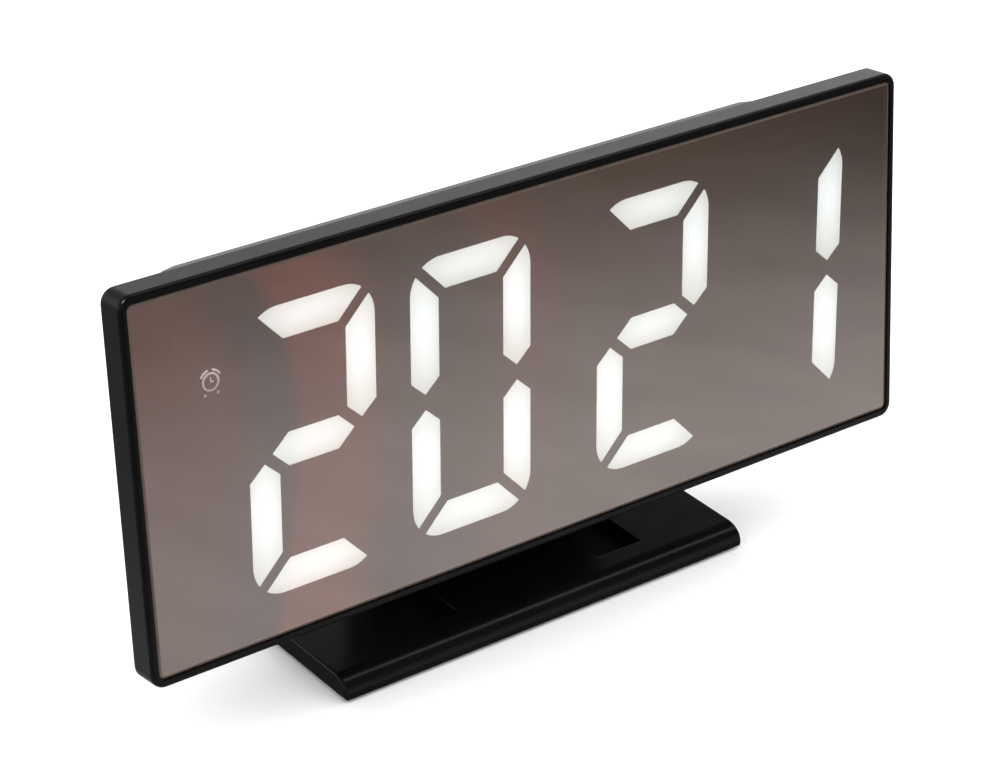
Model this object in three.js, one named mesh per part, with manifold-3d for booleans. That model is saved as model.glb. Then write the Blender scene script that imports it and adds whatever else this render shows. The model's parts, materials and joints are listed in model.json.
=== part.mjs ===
// Mirror-faced LED clock on a tilting stand, in millimetres.
// +X is to the right seen from the front, +Y runs to the back, +Z is up.
// The origin is the middle of the foot's print on the table.
//
// The stand carries the head on two hinge pins. The head is a slim frame with a half-mirror pane,
// a segment display behind the pane, and a tapered rear housing with the battery bay and the keys.
// The head's own frame has its origin at the middle of the pane's front face: x right, y into the
// clock, z up the pane.

import * as THREE from 'three';
import { mergeVertices } from 'three/addons/utils/BufferGeometryUtils.js';
import Module from 'manifold-3d';

const wasm = await Module();
wasm.setup();

// Fits shared by all pieces
const fitGap = 0.3; // between pieces that touch
const cutOverrun = 5; // how far a cutter runs past the face that it cuts
const joinLap = 0.5; // how far a boss, rib or wall runs into the wall that it grows from

// Display: four seven-segment digits, a colon and an alarm indicator
const digitReadings = ['2', '0', '2', '1'];
const digitWidth = 28.2;
const digitHeight = 55.3;
const digitPitch = 35.4; // between the two digits of a pair
const pairPitch = 43.8; // between the inner digits, with the colon in the middle
const digitSlantShare = 0.042; // sideways lean of a digit per height
const segmentWidth = 7;
const segmentDepth = 1.7;
const mitreOffset = 1.1; // half of the gap at a corner of the digit, along x or z
const waistGap = 2.2; // between the upper and the lower upright segments
const waistTip = 3.1; // height of the point at a segment's waist end
const crossbarTipInset = 4.8; // from the digit's side to the crossbar's point
const crossbarTip = 3.8; // length of the crossbar's point
const displayShift = 5.44; // the digits sit right of the pane's middle
const displayMarginSide = 11.56; // from the last digit to the pane's edge
const displayMarginTop = 7.55; // from the digits to the pane's upper and lower edge
const displayDrop = 0.7; // the digits' middle below the pane's middle
const colonDotRadius = 2.6;
const colonDotSpacing = 20;
const alarmWindowRadius = 3.5;
const alarmWindowOffset = 20.4; // left of the first digit's middle
const alarmWindowRaise = 16.5; // above the pane's middle

// Half-mirror pane and the frame round it
const paneThickness = 1.5;
const paneCornerRadius = 1.1;
const frameDepth = 6.1; // behind the pane's front face
const frameSideWall = 1.3;
const frameTopWall = 1.5;
const frameCornerRadius = 2.8;
const frameFrontRadius = 0.7; // rounding of the rim
const frameRearChamfer = 0.4;
const rimStand = 0.3; // how far the rim stands in front of the pane
const ledgeThickness = 2.2; // ledge that the pane is glued to

// Light-tight block with the segment wells, and the board behind it
const reflectorDepth = 3.2;
const reflectorSideWall = 0.9;
const reflectorTopWall = 2.6;
const pegRadius = 1.2;
const pegLength = 2.2;
const pegSpacing = 40; // between the upper and lower pegs
const boardThickness = 1.4;
const boardInset = 2.6; // the board is this much smaller than the block, each side
const ledLength = 3;
const ledWidth = 1.6;
const ledHeight = 0.8;
const chipSize = 12;
const chipHeight = 1.5;
const chipShift = 12; // right of the pane's middle

// Rear housing: a flange inside the frame, then a tapered box
const housingWall = 1.8;
const flangeThickness = 1.8;
const flangeShoulder = 1; // the box starts this far inside the flange at top and bottom
const housingSideTaper = 8.2;
const housingTopTaper = 3.6;
const housingBaseRadius = 7;
const housingRearRadius = 8;
const housingEdgeRadius = 3; // rounding round the rear face

// Battery bay, its door and its cells
const cellCount = 3;
const cellRadius = 5.15;
const cellLength = 44.5;
const cellNubRadius = 1.9;
const cellNubLength = 1;
const cellEdgeRadius = 0.6;
const cellPitch = 11.1;
const contactSpace = 3.4; // at each end of the cells
const contactThickness = 0.5;
const contactWidth = 8;
const contactBaseRadius = 3.2;
const contactTipRadius = 1.6;
const bayRaise = 3.5; // the bay's middle above the pane's middle
const bayWall = 1.2;
const bayFloor = 1.4;
const bayRoom = 1; // between the clock chip and the bay's floor
const doorThickness = 1.8;
const doorLap = 0.9; // the door's edge past the bay's inner side
const doorBevel = 1.2; // dovetail along both sides
const doorDrop = 2; // the door's lower edge below the bay
const shelfThickness = 1.4;
const shelfLap = 1.6;
const doorTongueWidth = 12;
const doorTongueLength = 8;
const doorSlit = 0.8;
const gripCount = 4;
const gripWidth = 16;
const gripHeight = 0.9;
const gripPitch = 2;
const gripStand = 0.5;
const gripStart = 2; // from the door's lower edge to the first ridge

// Keys on the rear face, with their switches on a small board
const keyNames = ['mode_button', 'up_button', 'down_button'];
const keyPitch = 10;
const keyGapToDoor = 9.2; // from the door's edge to the first key's middle
const keyRaise = 14;
const keyRadius = 3.2;
const keyStand = 0.9;
const keyEdgeRadius = 0.5;
const keyTravel = 0.8;
const keyStopGap = 0.15; // left under a key at the end of its travel
const keyFlangeRadius = 4.2;
const keyFlangeThickness = 0.8;
const keyStemRadius = 1.6;
const keyStemLength = 0.75;
const switchSize = 6;
const switchHeight = 3.5;
const plungerRadius = 1.7;
const plungerHeight = 1;
const keyBoardThickness = 1.2;
const keyBoardHeight = 13;
const keyBoardMargin = 5.5; // from the outer key's middle to the board's end
const keyPostRadius = 1.8;
const keyPostDrop = 4.2; // the posts stand this far below the row of keys
const keyPostPinRadius = 0.9;
const keyPostPinLength = 1.9;

// Power jack, buzzer and its grille in the rear face
const jackShift = -48;
const jackRaise = -14;
const jackBodyRadius = 4.6;
const jackNoseRadius = 3.9;
const jackBoreRadius = 2.9;
const jackPinRadius = 0.8;
const jackBodyLength = 8;
const jackNoseLength = 1.6;
const jackBoreDepth = 7.5;
const jackPinInset = 1.5;
const buzzerShift = -48;
const buzzerRaise = 10;
const buzzerRadius = 6;
const buzzerHeight = 7;
const buzzerHoleRadius = 1.2;
const buzzerHoleDepth = 1;
const grilleSlotCount = 4;
const grilleSlotLength = 12;
const grilleSlotWidth = 1.4;
const grillePitch = 3.2;

// Screws that hold the housing's flange to the frame's ledge
const screwHeadRadius = 1.9;
const screwHeadHeight = 0.8;
const screwShankRadius = 0.8;
const screwShankLength = 2.7;
const screwSeatDepth = 0.8;
const screwEdge = 4; // from the flange's end to the screw's middle
const screwSpacing = 44; // between the upper and the lower screw

// Hinge between the head and the stand
const leanAngle = THREE.MathUtils.degToRad(7.5); // how far the pane leans back
const fullLeanAngle = THREE.MathUtils.degToRad(30); // with the head tilted as far back as it goes
const hingeSetback = 6.9; // hinge axis behind the frame's rear edge
const hingeInset = 6.5; // hinge axis above the housing's lower edge
const armSpacing = 45.9; // between the middles of the two arms
const armWidth = 10.5;
const eyeRadius = 4.2;
const pinRadius = 1.5;
const pinHeadRadius = 2.6;
const pinHeadThickness = 0.8;
const slotClearance = 0.5; // round the eye, inside the housing's slot
const cheekThickness = 1.8;

// Stand: foot plate with two windows, two arms, an upright web, two ribs and a rubber mat below
const footWidth = 98.2;
const footDepth = 48.4;
const footThickness = 4.3;
const toeFaceHeight = 0.9; // upright part of the front face
const toeRoll = 4.2; // depth of the rounded top edge
const toeBevel = 0.3; // along the foot's lower edge
const footSideBevel = 0.4;
const hingeHeight = 25.42; // above the table
const hingeFromToe = 15.53; // behind the foot's front edge
const windowLead = 7.67; // the windows start this far in front of the hinge axis
const windowLength = 17.4;
const armRootGap = 0.4;
const armRootLength = 5.5;
const webClearance = 0.6; // behind the sweep of the housing's lower rear edge
const webThickness = 3.2;
const webTopRise = 1.2; // the web ends this far above the hinge axis
const ribSpacing = 18;
const ribThickness = 2;
const ribLength = 8;
const ribTopDrop = 6; // below the web's top
const matInset = 2.2; // from the foot's edges
const matThickness = 1;
const matStand = 0.5; // how far the rubber mat stands below the foot

// Smoothness
const cornerSteps = 5;
const roundSides = 20;
const smallRoundSides = 12;
const edgeSteps = 3;

// Sizes that follow from the ones above
const slantReach = digitSlantShare * digitHeight / 2;
const digitReach = displayShift + pairPitch / 2 + digitPitch + digitWidth / 2;
const paneHalfWidth = digitReach + displayMarginSide;
const paneHalfHeight = digitHeight / 2 + displayMarginTop;
const frameHalfWidth = paneHalfWidth + fitGap + frameSideWall;
const frameHalfHeight = paneHalfHeight + fitGap + frameTopWall;
const ledgeFront = paneThickness + fitGap;
const ledgeBack = ledgeFront + ledgeThickness;
const reflectorHalfWidth = digitReach + slantReach + fitGap + reflectorSideWall;
const reflectorHalfHeight = digitHeight / 2 + fitGap + reflectorTopWall;
const reflectorCornerRadius = housingBaseRadius - housingWall;
const reflectorBack = ledgeFront + reflectorDepth;
const boardFront = reflectorBack + fitGap;
const boardBack = boardFront + boardThickness;

const flangeFront = frameDepth - flangeThickness;
const baseHalfWidth = reflectorHalfWidth + fitGap + housingWall;
const baseHalfHeight = paneHalfHeight - flangeShoulder;
const rearHalfWidth = baseHalfWidth - housingSideTaper;
const rearHalfHeight = baseHalfHeight - housingTopTaper;

// From front to back: the board with its chip, the bay's floor, the cells and the door
const bayFloorFront = boardBack + chipHeight + bayRoom;
const bayFloorBack = bayFloorFront + bayFloor;
const cellDepth = bayFloorBack + fitGap + cellRadius;
const doorInside = cellDepth + cellRadius + fitGap;
const housingDepth = doorInside + doorThickness;
const wallInside = housingDepth - housingWall;
const bayHalfWidth = cellLength / 2 + contactSpace;
const bayHalfHeight = cellCount * cellPitch / 2;
const shelfFront = doorInside - fitGap - shelfThickness;
const doorHalfWidth = bayHalfWidth + doorLap;
const doorBottom = bayRaise - bayHalfHeight - doorDrop;

const firstKeyX = doorHalfWidth + keyGapToDoor;
const keyFlangeBack = wallInside - fitGap;
const keyStemFront = keyFlangeBack - keyFlangeThickness - keyStemLength;
const plungerTop = keyStemFront - keyTravel - keyStopGap;
const switchFront = plungerTop - plungerHeight - switchHeight;
const keyBoardBack = switchFront - fitGap;
const keyBoardFront = keyBoardBack - keyBoardThickness;

const hingeDepth = frameDepth + hingeSetback;
const hingeDrop = baseHalfHeight - hingeInset;
const slotHalfWidth = armWidth / 2 + fitGap;
const cheekHalfWidth = slotHalfWidth + cheekThickness;

const footFront = -footDepth / 2;
const footRear = footDepth / 2;
const footBottom = matStand;
const footTop = footBottom + footThickness;
const hingeY = footFront + hingeFromToe;
const windowFront = hingeY - windowLead;
const windowRear = windowFront + windowLength;
const edgeSweep = Math.hypot(housingDepth - hingeDepth, rearHalfHeight - hingeDrop);
const webFront = hingeY + edgeSweep + webClearance;
const webTop = hingeHeight + webTopRise;

// Turning three.js geometry into solids and back

function solid(geometry) {
  const bare = geometry.clone();
  bare.deleteAttribute('normal');
  bare.deleteAttribute('uv');
  const merged = mergeVertices(bare);
  const corners = [];
  for (let i = 0; i < merged.index.count; i += 3) {
    const [a, b, c] = [0, 1, 2].map((k) => merged.index.getX(i + k));
    if (a !== b && b !== c && c !== a) corners.push(a, b, c);
  }
  return new wasm.Manifold(new wasm.Mesh({
    numProp: 3,
    vertProperties: new Float32Array(merged.attributes.position.array),
    triVerts: new Uint32Array(corners),
  }));
}

function geometryOf(manifold) {
  const { vertProperties, triVerts } = manifold.getMesh();
  const geometry = new THREE.BufferGeometry();
  geometry.setAttribute('position', new THREE.BufferAttribute(new Float32Array(vertProperties), 3));
  geometry.setIndex(new THREE.BufferAttribute(new Uint32Array(triVerts), 1));
  const faceted = geometry.toNonIndexed();
  faceted.computeVertexNormals();
  return faceted;
}

function joined(first, ...others) {
  return others.reduce((sum, other) => sum.add(other), first);
}

function cut(body, ...cutters) {
  return cutters.reduce((rest, cutter) => rest.subtract(cutter), body);
}

// Basic forms

// A box from its lowest to its highest corner.
function block(low, high) {
  const geometry = new THREE.BoxGeometry(...high.map((value, axis) => value - low[axis]));
  geometry.translate(...high.map((value, axis) => (value + low[axis]) / 2));
  return solid(geometry);
}

// An x-z outline pushed into the clock, from one depth to another.
function plate(shape, front, back) {
  const geometry = new THREE.ExtrudeGeometry(shape, {
    depth: back - front, bevelEnabled: false, curveSegments: cornerSteps,
  });
  geometry.rotateX(Math.PI / 2);
  geometry.translate(0, back, 0);
  return solid(geometry);
}

// A y-z outline of given width across x, with a small bevel round both ends if asked.
function sidewaysProfile(shape, width, middle = 0, bevel = 0) {
  const geometry = new THREE.ExtrudeGeometry(shape, {
    depth: width - 2 * bevel,
    curveSegments: cornerSteps,
    bevelEnabled: bevel > 0,
    bevelThickness: bevel,
    bevelSize: bevel,
    bevelOffset: -bevel,
    bevelSegments: 1,
  });
  const turn = new THREE.Matrix4().makeBasis(
    new THREE.Vector3(0, 1, 0), new THREE.Vector3(0, 0, 1), new THREE.Vector3(1, 0, 0),
  );
  geometry.applyMatrix4(turn);
  geometry.translate(middle - width / 2 + bevel, 0, 0);
  return solid(geometry);
}

// A turned piece whose axis runs into the clock; points are [radius, depth] from front to back.
function turned(points, x, z, sides = roundSides) {
  const profile = points.map(([radius, depth]) => new THREE.Vector2(radius, depth));
  const geometry = new THREE.LatheGeometry(profile, sides);
  geometry.translate(x, 0, z);
  return solid(geometry);
}

// A rod along x between two x values.
function rod(radius, left, right, y, z, sides = roundSides) {
  const geometry = new THREE.CylinderGeometry(radius, radius, right - left, sides);
  geometry.rotateZ(-Math.PI / 2);
  geometry.translate((left + right) / 2, y, z);
  return solid(geometry);
}

function roundedOutline(halfWidth, halfHeight, radius) {
  const shape = new THREE.Shape();
  shape.absarc(halfWidth - radius, halfHeight - radius, radius, 0, Math.PI / 2);
  shape.absarc(radius - halfWidth, halfHeight - radius, radius, Math.PI / 2, Math.PI);
  shape.absarc(radius - halfWidth, radius - halfHeight, radius, Math.PI, 1.5 * Math.PI);
  shape.absarc(halfWidth - radius, radius - halfHeight, radius, 1.5 * Math.PI, 2 * Math.PI);
  return shape;
}

function discOutline(radius, x = 0, z = 0) {
  const shape = new THREE.Shape();
  const steps = Array.from({ length: roundSides }, (_, k) => 2 * Math.PI * k / roundSides);
  shape.setFromPoints(steps.map((a) => new THREE.Vector2(x + radius * Math.cos(a), z + radius * Math.sin(a))));
  return shape;
}

// A closed body through rounded-rectangle rings, each { halfWidth, halfHeight, radius, y }.
function loft(rings) {
  const positions = [];
  const perRing = 4 * (cornerSteps + 1);
  for (const { halfWidth, halfHeight, radius, y } of rings) {
    for (let corner = 0; corner < 4; corner += 1) {
      const sideX = corner === 0 || corner === 3 ? 1 : -1;
      const sideZ = corner < 2 ? 1 : -1;
      for (let step = 0; step <= cornerSteps; step += 1) {
        const angle = (corner + step / cornerSteps) * Math.PI / 2;
        positions.push(
          sideX * (halfWidth - radius) + radius * Math.cos(angle),
          y,
          sideZ * (halfHeight - radius) + radius * Math.sin(angle),
        );
      }
    }
  }
  const index = [];
  for (let ring = 0; ring + 1 < rings.length; ring += 1) {
    for (let k = 0; k < perRing; k += 1) {
      const a = ring * perRing + k;
      const b = ring * perRing + (k + 1) % perRing;
      index.push(a, a + perRing, b, b, a + perRing, b + perRing);
    }
  }
  const last = (rings.length - 1) * perRing;
  for (let k = 1; k + 1 < perRing; k += 1) {
    index.push(0, k, k + 1, last, last + k + 1, last + k);
  }
  const geometry = new THREE.BufferGeometry();
  geometry.setAttribute('position', new THREE.Float32BufferAttribute(positions, 3));
  geometry.setIndex(index);
  return solid(geometry);
}

// Display outlines

const firstDigitX = displayShift - pairPitch / 2 - digitPitch;
const digitXs = [0, digitPitch, digitPitch + pairPitch, 2 * digitPitch + pairPitch]
  .map((step) => firstDigitX + step);
const segmentNames = ['a', 'b', 'c', 'd', 'e', 'f', 'g'];
const litSegments = { 0: 'abcdef', 1: 'bc', 2: 'abdeg' };

// One segment's outline, anticlockwise, about the digit's middle. The outer corners of the digit are
// quarter rounds about the inner corners, and neighbouring segments meet in open mitres.
function segmentOutline(name) {
  const side = digitWidth / 2;
  const top = digitHeight / 2;
  const reach = (mitreOffset + Math.sqrt(2 * segmentWidth ** 2 - mitreOffset ** 2)) / 2;
  const tip = segmentWidth - reach;
  const tipAngle = Math.atan2(reach, reach - mitreOffset);
  const round = (from, to) => Array.from({ length: cornerSteps + 1 }, (_, k) => {
    const angle = from + (to - from) * k / cornerSteps;
    return [
      side - segmentWidth + segmentWidth * Math.cos(angle),
      top - segmentWidth + segmentWidth * Math.sin(angle),
    ];
  });
  const halfBar = [
    [side - segmentWidth - mitreOffset, top - segmentWidth],
    [side - tip - mitreOffset, top - tip],
    ...round(tipAngle, Math.PI / 2).slice(1),
  ];
  const bar = [...halfBar, ...halfBar.map(([x, z]) => [-x, z]).reverse()];
  const upright = [
    [side - segmentWidth / 2, waistGap / 2],
    [side, waistGap / 2 + waistTip],
    ...round(0, Math.PI / 2 - tipAngle),
    [side - segmentWidth, top - segmentWidth - mitreOffset],
    [side - segmentWidth, waistGap / 2 + waistTip],
  ];
  const crossbarTipX = side - crossbarTipInset;
  const crossbar = [
    [crossbarTipX, 0],
    [crossbarTipX - crossbarTip, segmentWidth / 2],
    [crossbarTip - crossbarTipX, segmentWidth / 2],
    [-crossbarTipX, 0],
    [crossbarTip - crossbarTipX, -segmentWidth / 2],
    [crossbarTipX - crossbarTip, -segmentWidth / 2],
  ];
  const forms = {
    a: [bar, 1, 1], b: [upright, 1, 1], c: [upright, 1, -1], d: [bar, 1, -1],
    e: [upright, -1, -1], f: [upright, -1, 1], g: [crossbar, 1, 1],
  };
  const [points, flipX, flipZ] = forms[name];
  const placed = points.map(([x, z]) => new THREE.Vector2(flipX * x, flipZ * z));
  if (flipX * flipZ < 0) placed.reverse();
  return placed.map((p) => new THREE.Vector2(p.x + digitSlantShare * p.y, p.y));
}

// A convex anticlockwise outline moved outwards by a margin.
function grown(points, margin) {
  const kept = points.filter((p, k) => p.distanceTo(points.at(k - 1)) > fitGap / 10);
  return kept.map((point, k) => {
    const before = point.clone().sub(kept.at(k - 1)).normalize();
    const after = kept[(k + 1) % kept.length].clone().sub(point).normalize();
    const out = new THREE.Vector2(before.y + after.y, -before.x - after.x).normalize();
    const square = new THREE.Vector2(after.y, -after.x);
    return point.clone().addScaledVector(out, margin / out.dot(square));
  });
}

function displayShape(points, x) {
  return new THREE.Shape(points.map((p) => new THREE.Vector2(p.x + x, p.y - displayDrop)));
}

function middleOf(points) {
  const box = new THREE.Box2().setFromPoints(points);
  return box.getCenter(new THREE.Vector2());
}

const segments = digitXs.flatMap((x, place) => segmentNames.map((name) => ({
  node: `digit_${place + 1}_segment_${name}`,
  lit: litSegments[digitReadings[place]].includes(name),
  outline: segmentOutline(name),
  x,
})));
const colonDots = [1, -1].map((side) => ({
  node: side > 0 ? 'colon_dot_upper' : 'colon_dot_lower',
  x: displayShift + side * digitSlantShare * colonDotSpacing / 2,
  z: side * colonDotSpacing / 2 - displayDrop,
}));
const alarmX = firstDigitX - alarmWindowOffset;
const pegXs = [(digitXs[0] + digitXs[1]) / 2, (digitXs[2] + digitXs[3]) / 2];
const pegPlaces = pegXs.flatMap((x) => [-1, 1].map((side) => [x, side * pegSpacing / 2]));

// Pieces of the display

function segmentLens({ outline, x }) {
  return plate(displayShape(outline, x), ledgeFront, ledgeFront + segmentDepth);
}

function roundLens(radius, x, z) {
  return plate(discOutline(radius, x, z), ledgeFront, ledgeFront + segmentDepth);
}

function reflectorBlock() {
  const outline = roundedOutline(reflectorHalfWidth, reflectorHalfHeight, reflectorCornerRadius);
  for (const { outline: points, x } of segments) {
    outline.holes.push(displayShape(grown(points, fitGap), x));
  }
  for (const { x, z } of colonDots) outline.holes.push(discOutline(colonDotRadius + fitGap, x, z));
  outline.holes.push(discOutline(alarmWindowRadius + fitGap, alarmX, alarmWindowRaise));
  const pegs = pegPlaces.map(([x, z]) => turned([
    [0, reflectorBack - joinLap], [pegRadius, reflectorBack - joinLap],
    [pegRadius, reflectorBack + pegLength], [0, reflectorBack + pegLength],
  ], x, z, smallRoundSides));
  return joined(plate(outline, ledgeFront, reflectorBack), ...pegs);
}

function mainBoard() {
  const outline = roundedOutline(
    reflectorHalfWidth - boardInset, reflectorHalfHeight - boardInset,
    reflectorCornerRadius - boardInset,
  );
  for (const [x, z] of pegPlaces) outline.holes.push(discOutline(pegRadius + fitGap, x, z));
  const ledPlaces = [
    ...segments.map(({ outline: points, x }) => middleOf(points).add(new THREE.Vector2(x, -displayDrop))),
    ...colonDots.map(({ x, z }) => new THREE.Vector2(x, z)),
    new THREE.Vector2(alarmX, alarmWindowRaise),
  ];
  const leds = ledPlaces.map(({ x, y: z }) => block(
    [x - ledLength / 2, boardFront - ledHeight, z - ledWidth / 2],
    [x + ledLength / 2, boardFront + joinLap, z + ledWidth / 2],
  ));
  const chip = block(
    [chipShift - chipSize / 2, boardBack - joinLap, -chipSize / 2],
    [chipShift + chipSize / 2, boardBack + chipHeight, chipSize / 2],
  );
  return joined(plate(outline, boardFront, boardBack), ...leds, chip);
}

// Frame and pane

function pane() {
  return plate(roundedOutline(paneHalfWidth, paneHalfHeight, paneCornerRadius), 0, paneThickness);
}

function frontFrame() {
  const ring = (inset, y) => ({
    halfWidth: frameHalfWidth - inset,
    halfHeight: frameHalfHeight - inset,
    radius: Math.max(frameCornerRadius - inset, fitGap),
    y,
  });
  const rim = Array.from({ length: edgeSteps + 1 }, (_, k) => {
    const angle = k / edgeSteps * Math.PI / 2;
    return ring(
      frameFrontRadius * (1 - Math.sin(angle)),
      frameFrontRadius * (1 - Math.cos(angle)) - rimStand,
    );
  });
  const outer = loft([...rim, ring(0, frameDepth - frameRearChamfer), ring(frameRearChamfer, frameDepth)]);
  const seat = roundedOutline(
    paneHalfWidth + fitGap, paneHalfHeight + fitGap, paneCornerRadius + fitGap,
  );
  const opening = roundedOutline(
    reflectorHalfWidth + fitGap, reflectorHalfHeight + fitGap, reflectorCornerRadius + fitGap,
  );
  return cut(
    outer,
    plate(seat, -cutOverrun, ledgeFront),
    plate(opening, 0, frameDepth + cutOverrun),
    plate(seat, ledgeBack, frameDepth + cutOverrun),
    ...screwPlaces.map(([x, z]) => turned([
      [0, 0], [screwShankRadius + fitGap, 0],
      [screwShankRadius + fitGap, frameDepth], [0, frameDepth],
    ], x, z, smallRoundSides)),
  );
}

// Rear housing

const screwPlaces = [-1, 1].flatMap((sideX) => [-1, 1].map((sideZ) => [
  sideX * (paneHalfWidth - screwEdge), sideZ * screwSpacing / 2,
]));

// The tapered box's skin, or its inside when inset by the wall.
function taperedBox(inset, front, back, edgeRadius) {
  const ring = (y, extra) => {
    const share = Math.max(0, (y - frameDepth) / (housingDepth - frameDepth));
    return {
      halfWidth: baseHalfWidth - share * housingSideTaper - inset - extra,
      halfHeight: baseHalfHeight - share * housingTopTaper - inset - extra,
      radius: housingBaseRadius + share * (housingRearRadius - housingBaseRadius) - inset - extra / 2,
      y,
    };
  };
  const edge = Array.from({ length: edgeSteps + 1 }, (_, k) => {
    const angle = k / edgeSteps * Math.PI / 2;
    return ring(back - edgeRadius * (1 - Math.sin(angle)), edgeRadius * (1 - Math.cos(angle)));
  });
  return loft([ring(front, 0), ring(frameDepth, 0), ...edge]);
}

// The door's dovetail section, swept up from its lower edge past the top of the housing.
function doorPrism(gap) {
  const outer = doorHalfWidth + gap;
  const inner = outer + doorBevel;
  const rise = rearHalfHeight + cutOverrun + gap;
  const overrun = gap > 0 ? cutOverrun : 0;
  const back = housingDepth + overrun;
  const flare = doorBevel * overrun / doorThickness;
  const shape = new THREE.Shape();
  shape.moveTo(-inner, -(doorInside - gap));
  shape.lineTo(-outer + flare, -back);
  shape.lineTo(outer - flare, -back);
  shape.lineTo(inner, -(doorInside - gap));
  const bottom = doorBottom - gap;
  const geometry = new THREE.ExtrudeGeometry(shape, { depth: rise - bottom, bevelEnabled: false });
  geometry.rotateZ(Math.PI);
  geometry.translate(0, 0, bottom);
  return solid(geometry);
}

function armSides() {
  return [-1, 1].map((side) => side * armSpacing / 2);
}

function keyXs() {
  return keyNames.map((_, k) => firstKeyX + k * keyPitch);
}

function keyPostPlaces() {
  return keyXs().slice(1).map((x) => [x - keyPitch / 2, keyRaise - keyPostDrop]);
}

function rearHousing() {
  const skin = taperedBox(0, flangeFront, housingDepth, housingEdgeRadius);
  const hollow = taperedBox(
    housingWall, flangeFront - cutOverrun, wallInside, housingEdgeRadius - housingWall,
  );
  const flange = plate(
    roundedOutline(paneHalfWidth, paneHalfHeight, paneCornerRadius), flangeFront, frameDepth,
  );
  const shell = cut(joined(flange, skin), hollow);

  const bayOuter = [bayHalfWidth + bayWall, bayHalfHeight + bayWall];
  const bay = block(
    [-bayOuter[0], bayFloorFront, bayRaise - bayOuter[1]],
    [bayOuter[0], shelfFront + joinLap, bayRaise + bayOuter[1]],
  );
  const shelfReach = doorHalfWidth + doorBevel + shelfLap;
  const shelf = block(
    [-shelfReach, shelfFront, doorBottom - shelfLap], [shelfReach, wallInside + joinLap, rearHalfHeight],
  );
  const cheeks = armSides().map((x) => block(
    [
      x - cheekHalfWidth,
      hingeDepth - eyeRadius - slotClearance - bayWall,
      -baseHalfHeight,
    ],
    [x + cheekHalfWidth, housingDepth, eyeRadius + slotClearance + cheekThickness - hingeDrop],
  ));
  const posts = keyPostPlaces().map(([x, z]) => turned([
    [0, keyBoardBack - keyPostPinLength],
    [keyPostPinRadius, keyBoardBack - keyPostPinLength],
    [keyPostPinRadius, keyBoardBack + fitGap],
    [keyPostRadius, keyBoardBack + fitGap],
    [keyPostRadius, wallInside + joinLap],
    [0, wallInside + joinLap],
  ], x, z, smallRoundSides));
  const inside = joined(bay, shelf, ...cheeks, ...posts).intersect(
    taperedBox(housingWall / 2, flangeFront, housingDepth - housingWall / 2, housingEdgeRadius),
  );

  const cell = block(
    [-bayHalfWidth, bayFloorBack, bayRaise - bayHalfHeight],
    [bayHalfWidth, housingDepth, bayRaise + bayHalfHeight],
  );
  const slots = armSides().flatMap((x) => [
    block(
      [x - slotHalfWidth, hingeDepth - eyeRadius - slotClearance, -baseHalfHeight - cutOverrun],
      [x + slotHalfWidth, housingDepth + cutOverrun, eyeRadius + slotClearance - hingeDrop],
    ),
    rod(pinRadius + fitGap, x - cheekHalfWidth - cutOverrun, x + cheekHalfWidth + cutOverrun,
      hingeDepth, -hingeDrop, smallRoundSides),
  ]);
  const drill = (radius, x, z, sides) => turned([
    [0, wallInside - cutOverrun], [radius, wallInside - cutOverrun],
    [radius, housingDepth + cutOverrun], [0, housingDepth + cutOverrun],
  ], x, z, sides);
  const keyHoles = keyXs().map((x) => drill(keyRadius + fitGap, x, keyRaise, roundSides));
  const jackHole = drill(jackNoseRadius + fitGap, jackShift, jackRaise, roundSides);
  const grille = Array.from({ length: grilleSlotCount }, (_, k) => {
    const z = buzzerRaise + (k - (grilleSlotCount - 1) / 2) * grillePitch;
    return block(
      [buzzerShift - grilleSlotLength / 2, wallInside - cutOverrun, z - grilleSlotWidth / 2],
      [buzzerShift + grilleSlotLength / 2, housingDepth + cutOverrun, z + grilleSlotWidth / 2],
    );
  });
  const screwHoles = screwPlaces.map(([x, z]) => turned([
    [0, 0], [screwShankRadius + fitGap, 0],
    [screwShankRadius + fitGap, frameDepth - screwSeatDepth],
    [screwHeadRadius + fitGap, frameDepth - screwSeatDepth],
    [screwHeadRadius + fitGap, frameDepth + cutOverrun], [0, frameDepth + cutOverrun],
  ], x, z, smallRoundSides));
  return cut(
    joined(shell, inside), cell, doorPrism(fitGap), ...slots, ...keyHoles, jackHole, ...grille,
    ...screwHoles,
  );
}

function batteryDoor() {
  const skin = taperedBox(0, flangeFront, housingDepth, housingEdgeRadius);
  const slits = [-1, 1].map((side) => {
    const x = side * doorTongueWidth / 2;
    return block(
      [x - doorSlit / 2, doorInside - cutOverrun, doorBottom - cutOverrun],
      [x + doorSlit / 2, housingDepth + cutOverrun, doorBottom + doorTongueLength],
    );
  });
  const gripLow = doorBottom + doorTongueLength + gripStart;
  const grips = Array.from({ length: gripCount }, (_, k) => block(
    [-gripWidth / 2, housingDepth - joinLap, gripLow + k * gripPitch],
    [gripWidth / 2, housingDepth + gripStand, gripLow + k * gripPitch + gripHeight],
  ));
  return joined(cut(doorPrism(0).intersect(skin), ...slits), ...grips);
}

// Battery cells lie along x, turned end for end in series.
function cellAt(index) {
  const end = cellLength / 2;
  const shoulder = end - cellNubLength;
  const profile = [
    [0, -end], [cellRadius - cellEdgeRadius, -end], [cellRadius, cellEdgeRadius - end],
    [cellRadius, shoulder - cellEdgeRadius], [cellRadius - cellEdgeRadius, shoulder],
    [cellNubRadius, shoulder], [cellNubRadius, end], [0, end],
  ].map(([radius, along]) => new THREE.Vector2(radius, along));
  const geometry = new THREE.LatheGeometry(profile, roundSides);
  geometry.rotateZ(index % 2 === 0 ? -Math.PI / 2 : Math.PI / 2);
  geometry.translate(0, cellDepth, cellHeight(index));
  return solid(geometry);
}

function cellHeight(index) {
  return bayRaise + (index - (cellCount - 1) / 2) * cellPitch;
}

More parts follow.
